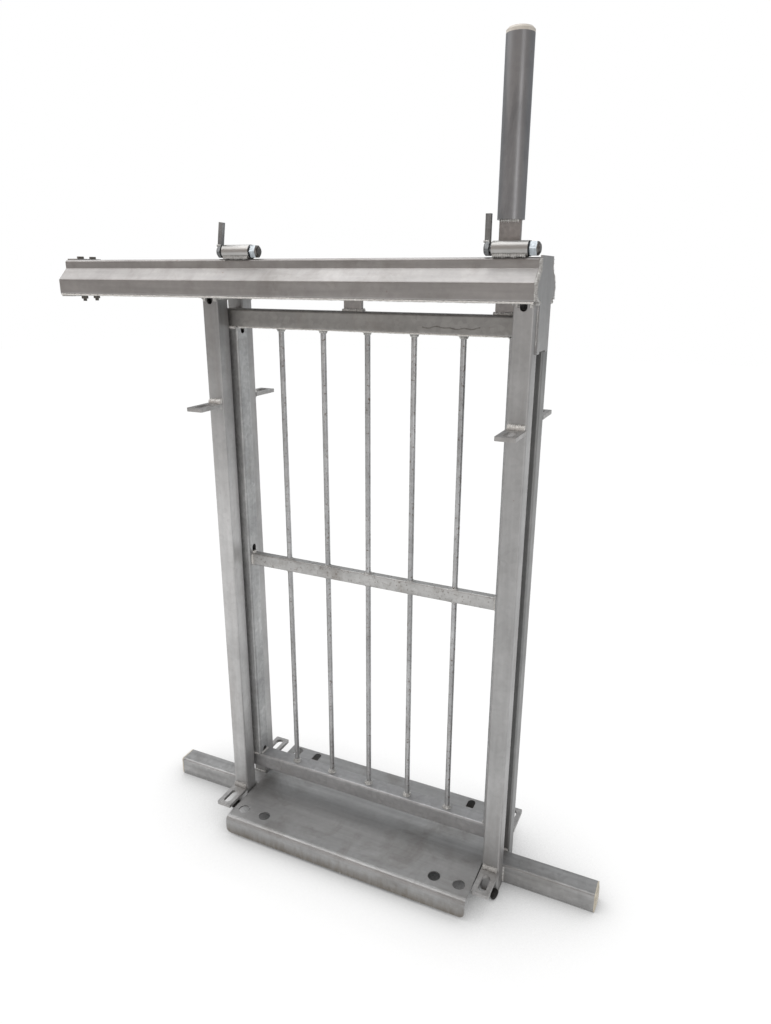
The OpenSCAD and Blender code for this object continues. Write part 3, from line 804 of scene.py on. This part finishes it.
@dataclass
class Workshop:
    """The node trees that weld, drip and cut threads, with their usual sizes."""

    bead: NodeTool = field(default_factory=lambda: NodeTool("weld_bead", plan_bead, {
        "Radius": 3 * MM, "Ripple": 3 * MM, "Depth": 0.13, "Wander": 2 * MM, "Seed": 1.0}))
    drips: NodeTool = field(default_factory=lambda: NodeTool("zinc_drips", plan_drips, {
        "Radius": 1.6 * MM, "Spacing": 6 * MM, "Share": 0.4, "Seed": 3}))
    thread: NodeTool = field(default_factory=lambda: NodeTool("screw_thread", plan_thread, {
        "Radius": 5 * MM, "Pitch": 1.5 * MM, "Length": 6 * MM}))


def coat(nodes: dict[str, Piece], finish: Finish, *names: str) -> None:
    """Gives CAD nodes their finish.

    Args:
        nodes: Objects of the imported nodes.
        finish: Finish to assign.
        *names: Names of the nodes.
    """
    for name in names:
        node = nodes[name]
        if not node.data.materials:
            node.data.materials.append(None)
        for slot in node.material_slots:
            slot.material = RACK.get(finish)
        LOG.info("node %s: %s", name, finish.name)


def shaped_piece(name: str, shape: bmesh.types.BMesh, finish: Finish) -> Piece:
    """Makes a piece of a closed shape, faces outwards, smooth but for faces of many sides.

    Args:
        name: Name of the piece.
        shape: Its faces, in place. They are freed.
        finish: Finish of the piece.

    Returns:
        The piece, at the origin, with its place in its mesh.
    """
    bmesh.ops.recalc_face_normals(shape, faces=shape.faces)
    if shape.calc_volume(signed=True) < 0:
        bmesh.ops.reverse_faces(shape, faces=shape.faces)
    for patch in shape.faces:
        patch.smooth = len(patch.verts) <= 4
    mesh = bpy.data.meshes.new(name)
    shape.to_mesh(mesh)
    shape.free()
    mesh.materials.append(RACK.get(finish))
    return new_piece(name, mesh)


@dataclass
class PostFrame:
    """Posts, foot bar, tread and lugs, with their welds, drips and buffers."""

    lug_bead: float = 7.0 * MM
    lug_rise: float = 2.6 * MM
    under_bead: float = 4.0 * MM
    post_bead: float = 3.8 * MM
    inset: float = 3 * MM
    tack_in: Span = (7.5 * MM, 5.4 * MM)
    tack_h: float = 7.8 * MM
    drip_in: float = 15 * MM
    drip_edge: float = 1.5 * MM
    buffer_r: float = 7.8 * MM
    buffer_h: float = 24 * MM
    buffer_in: float = 4.5 * MM
    buffer_sides: int = 24
    buffer_profile: tuple[Span, ...] = (
        (0.0, 0.0), (1.0, 0.0), (1.0, 0.35), (0.93, 0.6), (0.72, 0.85), (0.4, 0.97), (0.0, 1.0))
    crown_h: float = 3 * MM
    crown_in: float = 1.5 * MM
    crown_back: float = 1 * MM
    crown_cells: int = 14
    crown_rounding: float = 0.07
    posts: tuple[str, ...] = ("front_left_post", "rear_left_post", "front_right_post", "rear_right_post")
    lugs: tuple[str, ...] = tuple(
        f"{side}_{across}_{level}_lug"
        for side in ("front", "rear") for across in ("left", "right") for level in ("lower", "upper"))

    def dress(self, nodes: dict[str, Piece]) -> None:
        """Coats the nodes of the standing frame.

        Args:
            nodes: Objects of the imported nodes.
        """
        coat(nodes, POST_ZINC, "rear_left_post", "front_right_post")
        coat(nodes, LIT_POST_ZINC, "front_left_post")
        coat(nodes, SHADED_POST_ZINC, "rear_right_post")
        coat(nodes, FOOT_ZINC, "foot_bar")
        coat(nodes, CAP_PLASTIC, "foot_bar_caps")
        coat(nodes, TREAD_ZINC, "tread_plate")
        coat(nodes, LUG_ZINC, *self.lugs)

    def build(self, shop: Workshop) -> None:
        """Welds the frame and adds its drips, buffers and cap crowns.

        Args:
            shop: The node trees to work with.
        """
        body = Body.FRAME
        shop.bead.bake(
            "lug_welds", self._lug_runs(True), THICK_WELD_ZINC, body,
            Radius=self.lug_bead, Ripple=4 * MM, Seed=2.0)
        shop.bead.bake(
            "lug_under_welds", self._lug_runs(False), WELD_ZINC, body,
            Radius=self.under_bead, Ripple=3.5 * MM, Seed=4.0)
        shop.bead.bake("post_welds", self._post_runs(), WELD_ZINC, body, Radius=self.post_bead, Seed=5.0)
        shop.drips.bake("frame_drips", self._drip_runs(), LUG_ZINC, body, Share=0.2, Seed=11)
        for across in ("left", "right"):
            mount(self._buffer(across), body)
            mount(self._cap_crown(across), body)

    def _lug_runs(self, above: bool) -> list[Run]:
        """Beads along each lug's root on the post.

        Args:
            above: Whether the beads lie on top of the lugs or under them.

        Returns:
            One run for each lug.
        """
        runs = []
        for name in self.lugs:
            box = Extent.of(name)
            root = box.hi.y if box.mid.y < 0 else box.lo.y
            z = box.hi.z + self.lug_rise if above else box.lo.z
            runs.append(Run.along_x(box, self.inset, root, z))
        return runs

    def _post_runs(self) -> list[Run]:
        """Beads under the track and beside the foot bar, at each post.

        Returns:
            Seven runs for each post.
        """
        foot = Extent.of("foot_bar")
        runs = []
        for name in self.posts:
            box = Extent.of(name)
            front = box.mid.y < 0
            face = foot.lo.y if front else foot.hi.y
            for x in (box.lo.x, box.hi.x):
                runs.append(Run.upright(x, face, foot.lo.z + 2 * self.inset, foot.hi.z - self.inset))
                runs.append(Run.along_y(box, self.inset, x, box.hi.z))
            runs.append(Run.along_x(box, self.inset, face, foot.hi.z))
            outer = box.lo.y if front else box.hi.y
            for x in (box.lo.x + self.tack_in[0], box.hi.x - self.tack_in[1]):
                runs.append(Run.upright(x, outer, box.hi.z, box.hi.z - self.tack_h))
        return runs

    def _drip_runs(self) -> list[Run]:
        """Lower edges where zinc froze as it ran off.

        Returns:
            A run for each lip of the tread.
        """
        tread = Extent.of("tread_plate")
        edges = (tread.lo.y + self.drip_edge, tread.hi.y - self.drip_edge)
        return [Run.along_x(tread, self.drip_in, y, tread.lo.z) for y in edges]

    def _buffer(self, across: str) -> Piece:
        """Round rubber buffer low on a front post's outer corner.

        Args:
            across: "left" or "right".

        Returns:
            The buffer.
        """
        post = Extent.of(f"front_{across}_post")
        x = post.hi.x - self.buffer_in if across == "right" else post.lo.x + self.buffer_in
        shape = bmesh.new()
        spine = [shape.verts.new((r * self.buffer_r, 0.0, h * self.buffer_h)) for r, h in self.buffer_profile]
        edges = [shape.edges.new(pair) for pair in zip(spine, spine[1:])]
        bmesh.ops.spin(
            shape, geom=[*spine, *edges], axis=(0, 0, 1), cent=(0, 0, 0), angle=FULL_TURN,
            steps=self.buffer_sides)
        bmesh.ops.remove_doubles(shape, verts=shape.verts, dist=1e-6)
        turn = Matrix.Translation((x, post.lo.y, self.buffer_r)) @ Matrix.Rotation(math.radians(90), 4, "X")
        bmesh.ops.transform(shape, matrix=turn, verts=shape.verts)
        return shaped_piece(f"{across}_foot_buffer", shape, BLACK_RUBBER)

    def _cap_crown(self, across: str) -> Piece:
        """Bulging outer face of a foot bar cap.

        Args:
            across: "left" or "right".

        Returns:
            The crown, closed, with its back inside the cap.
        """
        caps = Extent.of("foot_bar_caps")
        out, face = (1, caps.hi.x) if across == "right" else (-1, caps.lo.x)
        half = (caps.hi.y - caps.lo.y) / 2 - self.crown_in
        shape = bmesh.new()
        bmesh.ops.create_grid(shape, x_segments=self.crown_cells, y_segments=self.crown_cells, size=1.0)
        rim = [edge for edge in shape.edges if edge.is_boundary]
        skirt = bmesh.ops.extrude_edge_only(shape, edges=rim)["geom"]
        back = {item for item in skirt if isinstance(item, bmesh.types.BMVert)}
        back_rim = [item for item in skirt if isinstance(item, bmesh.types.BMEdge) and item.is_boundary]
        bmesh.ops.contextual_create(shape, geom=back_rim)
        for vert in shape.verts:
            u, v = vert.co.x, vert.co.y
            squeeze = 1 - self.crown_rounding * u * u * v * v
            rise = -self.crown_back if vert in back else self.crown_h * (1 - u ** 4) * (1 - v ** 4)
            vert.co = (face + out * rise, caps.mid.y + half * u * squeeze, caps.mid.z + half * v * squeeze)
        return shaped_piece(f"{across}_cap_crown", shape, CAP_PLASTIC)


@dataclass
class Track:
    """Overhead track with its end plate and bolted stop."""

    plate_bead: float = 3.8 * MM
    plate_in: float = 4 * MM
    plate_sunk: float = 1 * MM
    tongue_bead: float = 2.2 * MM
    tongue_half: float = 43 * MM
    # Ridges along the lower edges that carry a painted highlight.
    highlight_bead: float = 1.9 * MM
    highlight_in: float = 2.2 * MM
    wall_h: float = 35 * MM
    slope: float = 25 * MM
    slant: float = 13 * MM
    thread_r: float = 3.9 * MM
    bolt_in: float = 6.8 * MM
    bolt_rise: float = 0.5 * MM
    halves: tuple[str, str] = ("front_track_half", "rear_track_half")

    def dress(self, nodes: dict[str, Piece]) -> None:
        """Coats the track, its end plate and its stop.

        Args:
            nodes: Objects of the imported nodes.
        """
        coat(nodes, TRACK_ZINC, *self.halves)
        coat(nodes, PLATE_ZINC, "track_end_plate")
        coat(nodes, LUG_ZINC, "stop_top_bar", "stop_bottom_bar")
        coat(nodes, DULL_PLATED, "stop_bolts")

    def build(self, shop: Workshop) -> None:
        """Welds the end plate on, lays the edges' ridges with their painted highlight and cuts the stop
        bolts' threads.

        Args:
            shop: The node trees to work with.
        """
        body = Body.FRAME
        shop.bead.bake(
            "end_plate_welds", self._plate_runs(), WELD_ZINC, body,
            Radius=self.plate_bead, Ripple=3.4 * MM, Wander=1.2 * MM, Seed=8.0)
        shop.bead.bake(
            "tongue_welds", self._tongue_runs(), LUG_ZINC, body,
            Radius=self.tongue_bead, Wander=1 * MM, Seed=12.0)
        shop.bead.bake(
            "track_edge_highlight", self._highlight_runs(), EDGE_HIGHLIGHT_ZINC, body,
            Radius=self.highlight_bead, Ripple=9 * MM, Depth=0.1, Wander=0.4 * MM, Seed=14.0)
        shop.thread.bake(
            "stop_bolt_threads", self._bolt_tails(), DULL_PLATED, body, Slot.FASTENER, Radius=self.thread_r)

    def _plate_runs(self) -> list[Run]:
        """Beads around the end plate's joint with the track.

        Returns:
            A bent run and a slanted one for each side.
        """
        half, sunk = Extent.of(self.halves[0]), self.plate_sunk
        x = half.hi.x + sunk
        bend = half.lo.z + self.wall_h
        runs = []
        for side in (-1, 1):
            wide = side * (-half.lo.y - sunk)
            neck = wide - side * self.slope
            runs.append(Run((
                (x, wide, half.lo.z + self.plate_in), (x, wide, bend),
                (x, neck, bend + self.slope), (x, neck, half.hi.z - self.plate_in / 2))))
            runs.append(Run((
                (x, side * self.tongue_half, half.lo.z + sunk), (x, wide, half.lo.z + self.slant - sunk))))
        return runs

    def _tongue_runs(self) -> list[Run]:
        """Beads down the tongue's edges, on the posts.

        Returns:
            A run for each edge.
        """
        half, plate = Extent.of(self.halves[0]), Extent.of("track_end_plate")
        low, high = plate.lo.z + self.slant, half.lo.z - self.tongue_bead
        return [Run.upright(half.hi.x, y, low, high) for y in (-self.tongue_half, self.tongue_half)]

    def _highlight_runs(self) -> list[Run]:
        """Thin ridges of zinc along the track's lower edges, painted white as a highlight.

        Returns:
            A run for each half of the track.
        """
        half, sunk = Extent.of(self.halves[0]), self.highlight_bead / 2
        edges = (half.lo.y + sunk, -half.lo.y - sunk)
        return [Run.along_x(half, self.highlight_in, y, half.lo.z + sunk) for y in edges]

    def _bolt_tails(self) -> list[Run]:
        """Points at the lower ends of the stop's bolts.

        Returns:
            A run of one point for each bolt.
        """
        bolts = Extent.of("stop_bolts")
        y, z = bolts.hi.y - self.bolt_in, bolts.lo.z + self.bolt_rise
        return [Run(((bolts.mid.x, side * y, z),)) for side in (-1, 1)]


@dataclass
class Gate:
    """Barred gate leaf with its hangers, rollers, handle and grip."""

    joint_bead: float = 3.0 * MM
    joint_in: float = 5 * MM
    flush: float = 0.8 * MM
    end_bead: float = 3.4 * MM
    end_in: float = 2.5 * MM
    bar_bead: float = 3.2 * MM
    bar_spread: float = 1.8 * MM
    flare: float = 4 * MM
    flare_spread: float = -0.4 * MM
    collar_bead: float = 2.0 * MM
    collar_spread: float = 0.6 * MM
    hanger_bead: float = 4.0 * MM
    hanger_lap: float = 3 * MM
    hanger_rise: float = 1.5 * MM
    grip_in: float = 3 * MM
    # Ridges along the top rail's lower corners that carry a painted highlight.
    highlight_bead: float = 1.7 * MM
    highlight_corner: float = 1.3 * MM
    highlight_in: float = 42 * MM
    drip_edge: float = 5 * MM
    drip_in: float = 45 * MM
    bars: tuple[str, ...] = tuple(f"gate_bar_{i}" for i in range(1, 6))
    stiles: tuple[str, str] = ("gate_left_stile", "gate_right_stile")

    def dress(self, nodes: dict[str, Piece]) -> None:
        """Coats the leaf, its hangers and its handle.

        Args:
            nodes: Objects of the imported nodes.
        """
        coat(nodes, SHADED_HEAD_ZINC, "gate_top_rail")
        coat(nodes, LIT_MID_ZINC, "gate_mid_rail")
        coat(nodes, GATE_ZINC, "gate_bottom_rail")
        coat(nodes, STILE_ZINC, *self.stiles)
        coat(nodes, SHADED_HANGER_ZINC, "middle_hanger", "handle_bar")
        coat(nodes, BAR_ZINC, *self.bars)
        coat(nodes, PLATED, "middle_axle", "handle_axle")
        coat(nodes, ROLLER_STEEL, "middle_rollers", "handle_rollers")
        coat(nodes, GRIP_ZINC, "handle_grip")
        coat(nodes, WHITE_PLASTIC, "handle_cap")

    def build(self, shop: Workshop) -> None:
        """Welds the leaf, its bars and its hangers, and lays its ridges with their painted highlight and its
        drips.

        Args:
            shop: The node trees to work with.
        """
        body = Body.GATE
        top, bottom, mid = (Extent.of(f"gate_{name}_rail") for name in ("top", "bottom", "mid"))
        roots = self._bar_runs((top.lo.z, bottom.hi.z), self.bar_spread)
        flares = self._bar_runs((top.lo.z - self.flare, bottom.hi.z + self.flare), self.flare_spread)
        shop.bead.bake(
            "bar_welds", roots + flares, WELD_ZINC, body,
            Radius=self.bar_bead, Ripple=3.4 * MM, Wander=2.4 * MM, Seed=3.0)
        shop.bead.bake(
            "mid_rail_bar_welds", self._bar_runs((mid.hi.z, mid.lo.z), self.collar_spread), WELD_ZINC, body,
            Radius=self.collar_bead, Ripple=2.8 * MM, Wander=1.2 * MM, Seed=7.0)
        shop.bead.bake(
            "leaf_welds", self._joint_runs(), THICK_WELD_ZINC, body,
            Radius=self.joint_bead, Wander=1.2 * MM, Seed=6.0)
        shop.bead.bake(
            "mid_rail_end_welds", self._end_runs(), THICK_WELD_ZINC, body,
            Radius=self.end_bead, Ripple=5 * MM, Depth=0.25, Wander=1.5 * MM, Seed=16.0)
        shop.bead.bake(
            "rail_edge_highlight", self._highlight_runs(), EDGE_HIGHLIGHT_ZINC, body,
            Radius=self.highlight_bead, Ripple=9 * MM, Depth=0.1, Wander=0.4 * MM, Seed=15.0)
        shop.bead.bake(
            "hanger_welds", self._hanger_runs(), THICK_WELD_ZINC, body,
            Radius=self.hanger_bead, Ripple=4.4 * MM, Depth=0.25, Seed=9.0)
        shop.drips.bake(
            "gate_drips", self._drip_runs(), STILE_ZINC, body, Radius=1.2 * MM, Share=0.08, Seed=21)

    def _bar_runs(self, levels: Iterable[float], spread: float) -> list[Run]:
        """Rings where the bars meet the rails.

        Args:
            levels: Heights of the rails' faces.
            spread: How far the ring lies outside the bar.

        Returns:
            One ring for each bar and level.
        """
        runs = []
        for name in self.bars:
            box = Extent.of(name)
            radius = (box.hi.x - box.lo.x) / 2 + spread
            runs.extend(Run.ring(box.mid, radius, z) for z in levels)
        return runs

    def _inner_faces(self) -> list[tuple[Extent, float]]:
        """Box of each stile and the place of its face towards the bars."""
        boxes = [Extent.of(name) for name in self.stiles]
        return [(box, box.hi.x if box.mid.x < 0 else box.lo.x) for box in boxes]

    def _joint_runs(self) -> list[Run]:
        """Beads at the stiles' ends.

        Returns:
            Six runs for each stile.
        """
        levels = (Extent.of("gate_top_rail").lo.z, Extent.of("gate_bottom_rail").hi.z)
        runs = []
        for box, inner in self._inner_faces():
            for z in levels:
                for y in (box.lo.y + self.flush, box.hi.y - self.flush):
                    runs.append(Run.along_x(box, self.joint_in, y, z))
                runs.append(Run.along_y(box, self.joint_in, inner, z))
        return runs

    def _end_runs(self) -> list[Run]:
        """Beads at the mid rail's ends, on the stiles.

        Returns:
            Four runs for each stile.
        """
        mid, gap = Extent.of("gate_mid_rail"), self.end_in
        runs = []
        for _, inner in self._inner_faces():
            for y in (mid.lo.y, mid.hi.y):
                runs.append(Run.upright(inner, y, mid.lo.z + gap, mid.hi.z - gap))
            for z in (mid.lo.z, mid.hi.z):
                runs.append(Run.along_y(mid, gap, inner, z))
        return runs

    def _highlight_runs(self) -> list[Run]:
        """Thin ridges of zinc along the top rail's lower corners, painted white as a highlight.

        Returns:
            A run for each corner.
        """
        top, corner = Extent.of("gate_top_rail"), self.highlight_corner
        edges = (top.lo.y + corner, top.hi.y - corner)
        return [Run.along_x(top, self.highlight_in, y, top.lo.z + corner) for y in edges]

    def _hanger_runs(self) -> list[Run]:
        """Beads around the hangers' feet and where the handle bar enters its grip.

        Returns:
            Two runs for each foot and two for the grip.
        """
        hanger, bar = Extent.of("middle_hanger"), Extent.of("handle_bar")
        seats = (
            (hanger, -self.hanger_lap, hanger.lo.z + self.hanger_rise),
            (bar, -self.hanger_lap, bar.lo.z + self.hanger_rise),
            (bar, self.grip_in, Extent.of("handle_grip").lo.z))
        return [Run.along_x(box, inset, y, z) for box, inset, z in seats for y in (box.lo.y, box.hi.y)]

    def _drip_runs(self) -> list[Run]:
        """Lower edges of the rails.

        Returns:
            Two runs for each rail.
        """
        boxes = [Extent.of(name) for name in ("gate_bottom_rail", "gate_mid_rail")]
        return [
            Run.along_x(box, self.drip_in, y, box.lo.z)
            for box in boxes for y in (box.lo.y + self.drip_edge, box.hi.y - self.drip_edge)]


@dataclass
class Latch:
    """One latch: a tube on the track, and a lever that turns with its bolt."""

    side: str
    body: Body
    seed: float
    tube_bead: float = 3.6 * MM
    tube_in: float = 3 * MM
    tube_reach: float = 9.5 * MM
    tube_rise: float = 2.2 * MM
    root_bead: float = 2.6 * MM
    root_rise: float = 0.6 * MM
    root_depth: float = 9 * MM
    root_w: float = 9 * MM
    washer_t: float = 2.5 * MM
    nut_bright: float = 12.5 * MM
    play: float = 0.6 * MM

    def dress(self, nodes: dict[str, Piece]) -> None:
        """Coats the tube, the bolt and the lever.

        Args:
            nodes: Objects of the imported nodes.
        """
        coat(nodes, TUBE_ZINC, f"{self.side}_latch_tube")
        coat(nodes, self._bolt_finish(), f"{self.side}_pivot_bolt")
        coat(nodes, LEVER_ZINC, f"{self.side}_lever")

    def _bolt_finish(self) -> BoltFinish:
        """Finish of the bolt, from where its head, washer, nut and end start along X.

        Returns:
            A grey head, a dark washer, a bright nut and a grey end.
        """
        bolt = Extent.of(f"{self.side}_pivot_bolt")
        washer = Extent.of(f"{self.side}_latch_tube").hi.x + self.play
        nut = washer + self.washer_t
        return BoltFinish(f"zinc plated {self.side} pivot bolt", (
            (bolt.lo.x, "#7b7d7e"), (washer - self.play / 2, "#3a3c3f"), (nut, "#c2cad0"),
            (nut + self.nut_bright, "#7d7b79"), (bolt.hi.x, "#7d7b79")))

    def build(self, shop: Workshop) -> None:
        """Welds the tube to the track and the lever to the bolt's head.

        Args:
            shop: The node trees to work with.
        """
        tube = Extent.of(f"{self.side}_latch_tube")
        feet = [
            Run.along_x(tube, self.tube_in, y, tube.lo.z + self.tube_rise)
            for y in (tube.mid.y - self.tube_reach, tube.mid.y + self.tube_reach)]
        shop.bead.bake(
            f"{self.side}_latch_tube_welds", feet, WELD_ZINC, Body.FRAME,
            Radius=self.tube_bead, Ripple=4.2 * MM, Depth=0.28, Wander=3 * MM, Seed=self.seed)
        lever = Extent.of(f"{self.side}_lever")
        z = lever.lo.z + self.root_rise
        near, far = lever.lo.x, lever.lo.x + self.root_w
        front, rear = lever.hi.y - self.root_depth, lever.hi.y
        root = [
            Run(((near, front, z), (far, front, z))),
            Run(((near, rear, z), (far, rear, z))),
            Run(((near, front, z), (near, rear, z)))]
        shop.bead.bake(
            f"{self.side}_lever_weld", root, WELD_ZINC, self.body, Slot.LEVER,
            Radius=self.root_bead, Wander=0.8 * MM, Seed=self.seed + 1)


@dataclass
class Studio:
    """Camera at the photograph's view, pale floor and soft lamps."""

    place: Point = (0.69083, -1.39976, 1.36110)
    yaw_deg: float = 24.74
    pitch_deg: float = 17.77
    roll_deg: float = 0.27
    focal_px: float = 733.635
    frame_h_px: float = 1024.0
    film_mm: float = 36.0
    floor_half: float = 12.0
    floor_white: float = 0.93
    floor_lift: float = 1.06
    shade_reach: float = 0.3
    fill: float = 0.6
    wall_r: float = 4.5
    wall_z: Span = (0.9, 7.5)
    wall_sides: int = 48
    floor_tone: str = "#e6e6e4"
    front_wall: str = "#b3aba6"
    rear_wall: str = "#aaacae"
    white: str = "#ffffff"

    def build(self) -> None:
        """Sets up the camera, the floor, the walls, the world and the lamps."""
        self._camera()
        self._floor()
        self._walls()
        self._world()
        self._lamp(
            "overhead_softbox", place=(-1.7, -0.1, 4.0), target=(-0.5, -0.1, 1.2), size=(4.2, 4.2),
            watts=82.0)
        self._lamp(
            "tall_strip", place=(2.3, -2.25, 1.5), target=(0.3, 0.0, 1.3), size=(0.75, 2.4), watts=9.0)
        bpy.context.scene.view_settings.view_transform = "Standard"

    def _camera(self) -> None:
        """Camera that was fitted to the photograph's straight edges."""
        data = bpy.data.cameras.new("photo_camera")
        data.sensor_fit = "VERTICAL"
        data.sensor_height = self.film_mm
        data.lens = self.focal_px / self.frame_h_px * self.film_mm
        camera = bpy.data.objects.new("photo_camera", data)
        turn = (
            Matrix.Rotation(math.radians(self.yaw_deg), 4, "Z")
            @ Matrix.Rotation(math.radians(90 - self.pitch_deg), 4, "X")
            @ Matrix.Rotation(math.radians(self.roll_deg), 4, "Z"))
        camera.matrix_world = Matrix.Translation(self.place) @ turn
        bpy.context.scene.collection.objects.link(camera)
        bpy.context.scene.camera = camera

    def _floor(self) -> None:
        """Pale floor that is white to the camera and still takes the shadow."""
        half = self.floor_half
        mesh = bpy.data.meshes.new("studio_floor")
        mesh.from_pydata(
            [(-half, -half, 0), (half, -half, 0), (half, half, 0), (-half, half, 0)], [], [(0, 1, 2, 3)])
        floor = new_piece("studio_floor", mesh)
        material, tree = new_material("pale studio floor")
        matt = add_node(tree, "ShaderNodeBsdfDiffuse", {"Color": hex_rgba(self.floor_tone)})
        openness = add_node(
            tree, "ShaderNodeAmbientOcclusion", {"Distance": self.shade_reach}, samples=6).outputs["AO"]
        lifted = add_node(tree, "ShaderNodeMath", {0: openness, 1: self.floor_lift}, operation="MULTIPLY")
        glow = add_node(tree, "ShaderNodeEmission", {"Color": hex_rgba(self.white), "Strength": lifted})
        share = add_node(tree, "ShaderNodeMath", {
            0: self._seen(tree), 1: self.floor_white}, operation="MULTIPLY")
        mix = add_node(tree, "ShaderNodeMixShader", {0: share, 1: matt, 2: glow})
        add_node(tree, "ShaderNodeOutputMaterial", {"Surface": mix})
        mesh.materials.append(material)

    def _walls(self) -> None:
        """Ring of studio wall, warmer in front, that only reflections and bounced light see."""
        count, ends = self.wall_sides, 2 * self.wall_sides
        turns = [FULL_TURN * i / count for i in range(count)]
        points = [
            (self.wall_r * math.cos(turn), self.wall_r * math.sin(turn), z)
            for turn in turns for z in self.wall_z]
        faces = [(2 * i, 2 * i + 1, (2 * i + 3) % ends, (2 * i + 2) % ends) for i in range(count)]
        mesh = bpy.data.meshes.new("studio_wall")
        mesh.from_pydata(points, [], faces)
        wall = new_piece("studio_wall", mesh)
        wall.visible_camera = False
        wall.visible_shadow = False
        material, tree = new_material("grey studio wall")
        place = add_node(tree, "ShaderNodeTexCoord").outputs["Object"]
        axes = add_node(tree, "ShaderNodeSeparateXYZ", {"Vector": place})
        depth = add_node(tree, "ShaderNodeMapRange", {
            "Value": axes.outputs["Y"], "From Min": -self.wall_r / 2, "From Max": self.wall_r / 2})
        tone = add_node(tree, "ShaderNodeMix", {
            SHARE: depth, FIRST: hex_rgba(self.front_wall), SECOND: hex_rgba(self.rear_wall)},
            data_type="RGBA")
        glow = add_node(tree, "ShaderNodeEmission", {"Color": tone})
        add_node(tree, "ShaderNodeOutputMaterial", {"Surface": glow})
        mesh.materials.append(material)

    def _seen(self, tree: Tree) -> Node:
        """Finds the rays that show the background.

        Args:
            tree: Node tree of the floor or the world.

        Returns:
            Node of a factor that is 1 for camera, glossy and transmission rays.
        """
        path = add_node(tree, "ShaderNodeLightPath").outputs
        direct = add_node(tree, "ShaderNodeMath", {
            0: path["Is Camera Ray"], 1: path["Is Glossy Ray"]}, operation="MAXIMUM")
        return add_node(tree, "ShaderNodeMath", {
            0: direct, 1: path["Is Transmission Ray"]}, operation="MAXIMUM")

    def _world(self) -> None:
        """White backdrop with an even, softer fill."""
        world = bpy.data.worlds.new("studio_world")
        bpy.context.scene.world = world
        world.use_nodes = True
        tree = world.node_tree
        tree.nodes.clear()
        level = add_node(tree, "ShaderNodeMapRange", {
            "Value": self._seen(tree), "To Min": self.fill, "To Max": 1.0})
        glow = add_node(tree, "ShaderNodeBackground", {"Color": hex_rgba(self.white), "Strength": level})
        add_node(tree, "ShaderNodeOutputWorld", {"Surface": glow})

    def _lamp(self, name: str, place: Point, target: Point, size: Span, watts: float) -> None:
        """Adds a softbox that the camera doesn't see.

        Args:
            name: Name of the lamp.
            place: Where it hangs.
            target: Point it faces.
            size: Its width and height.
            watts: Power.
        """
        data = bpy.data.lights.new(name, "AREA")
        data.shape = "RECTANGLE"
        data.size, data.size_y = size
        data.energy = watts
        lamp = bpy.data.objects.new(name, data)
        lamp.visible_camera = False
        aim = (Vector(target) - Vector(place)).to_track_quat("-Z", "Y")
        lamp.matrix_world = Matrix.Translation(place) @ aim.to_matrix().to_4x4()
        bpy.context.scene.collection.objects.link(lamp)


def main() -> None:
    """Loads the frame, sets up the studio, then dresses and builds every sub-assembly."""
    logging.basicConfig(level=logging.INFO, format="%(name)s: %(message)s")
    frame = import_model()
    nodes = frame["nodes"]
    Studio().build()
    shop = Workshop()
    parts = [
        PostFrame(), Track(), Gate(),
        Latch("left", Body.LEFT_LATCH, 13.0), Latch("right", Body.RIGHT_LATCH, 17.0)]
    for part in parts:
        part.dress(nodes)
        part.build(shop)


if __name__ == "__main__":
    main()
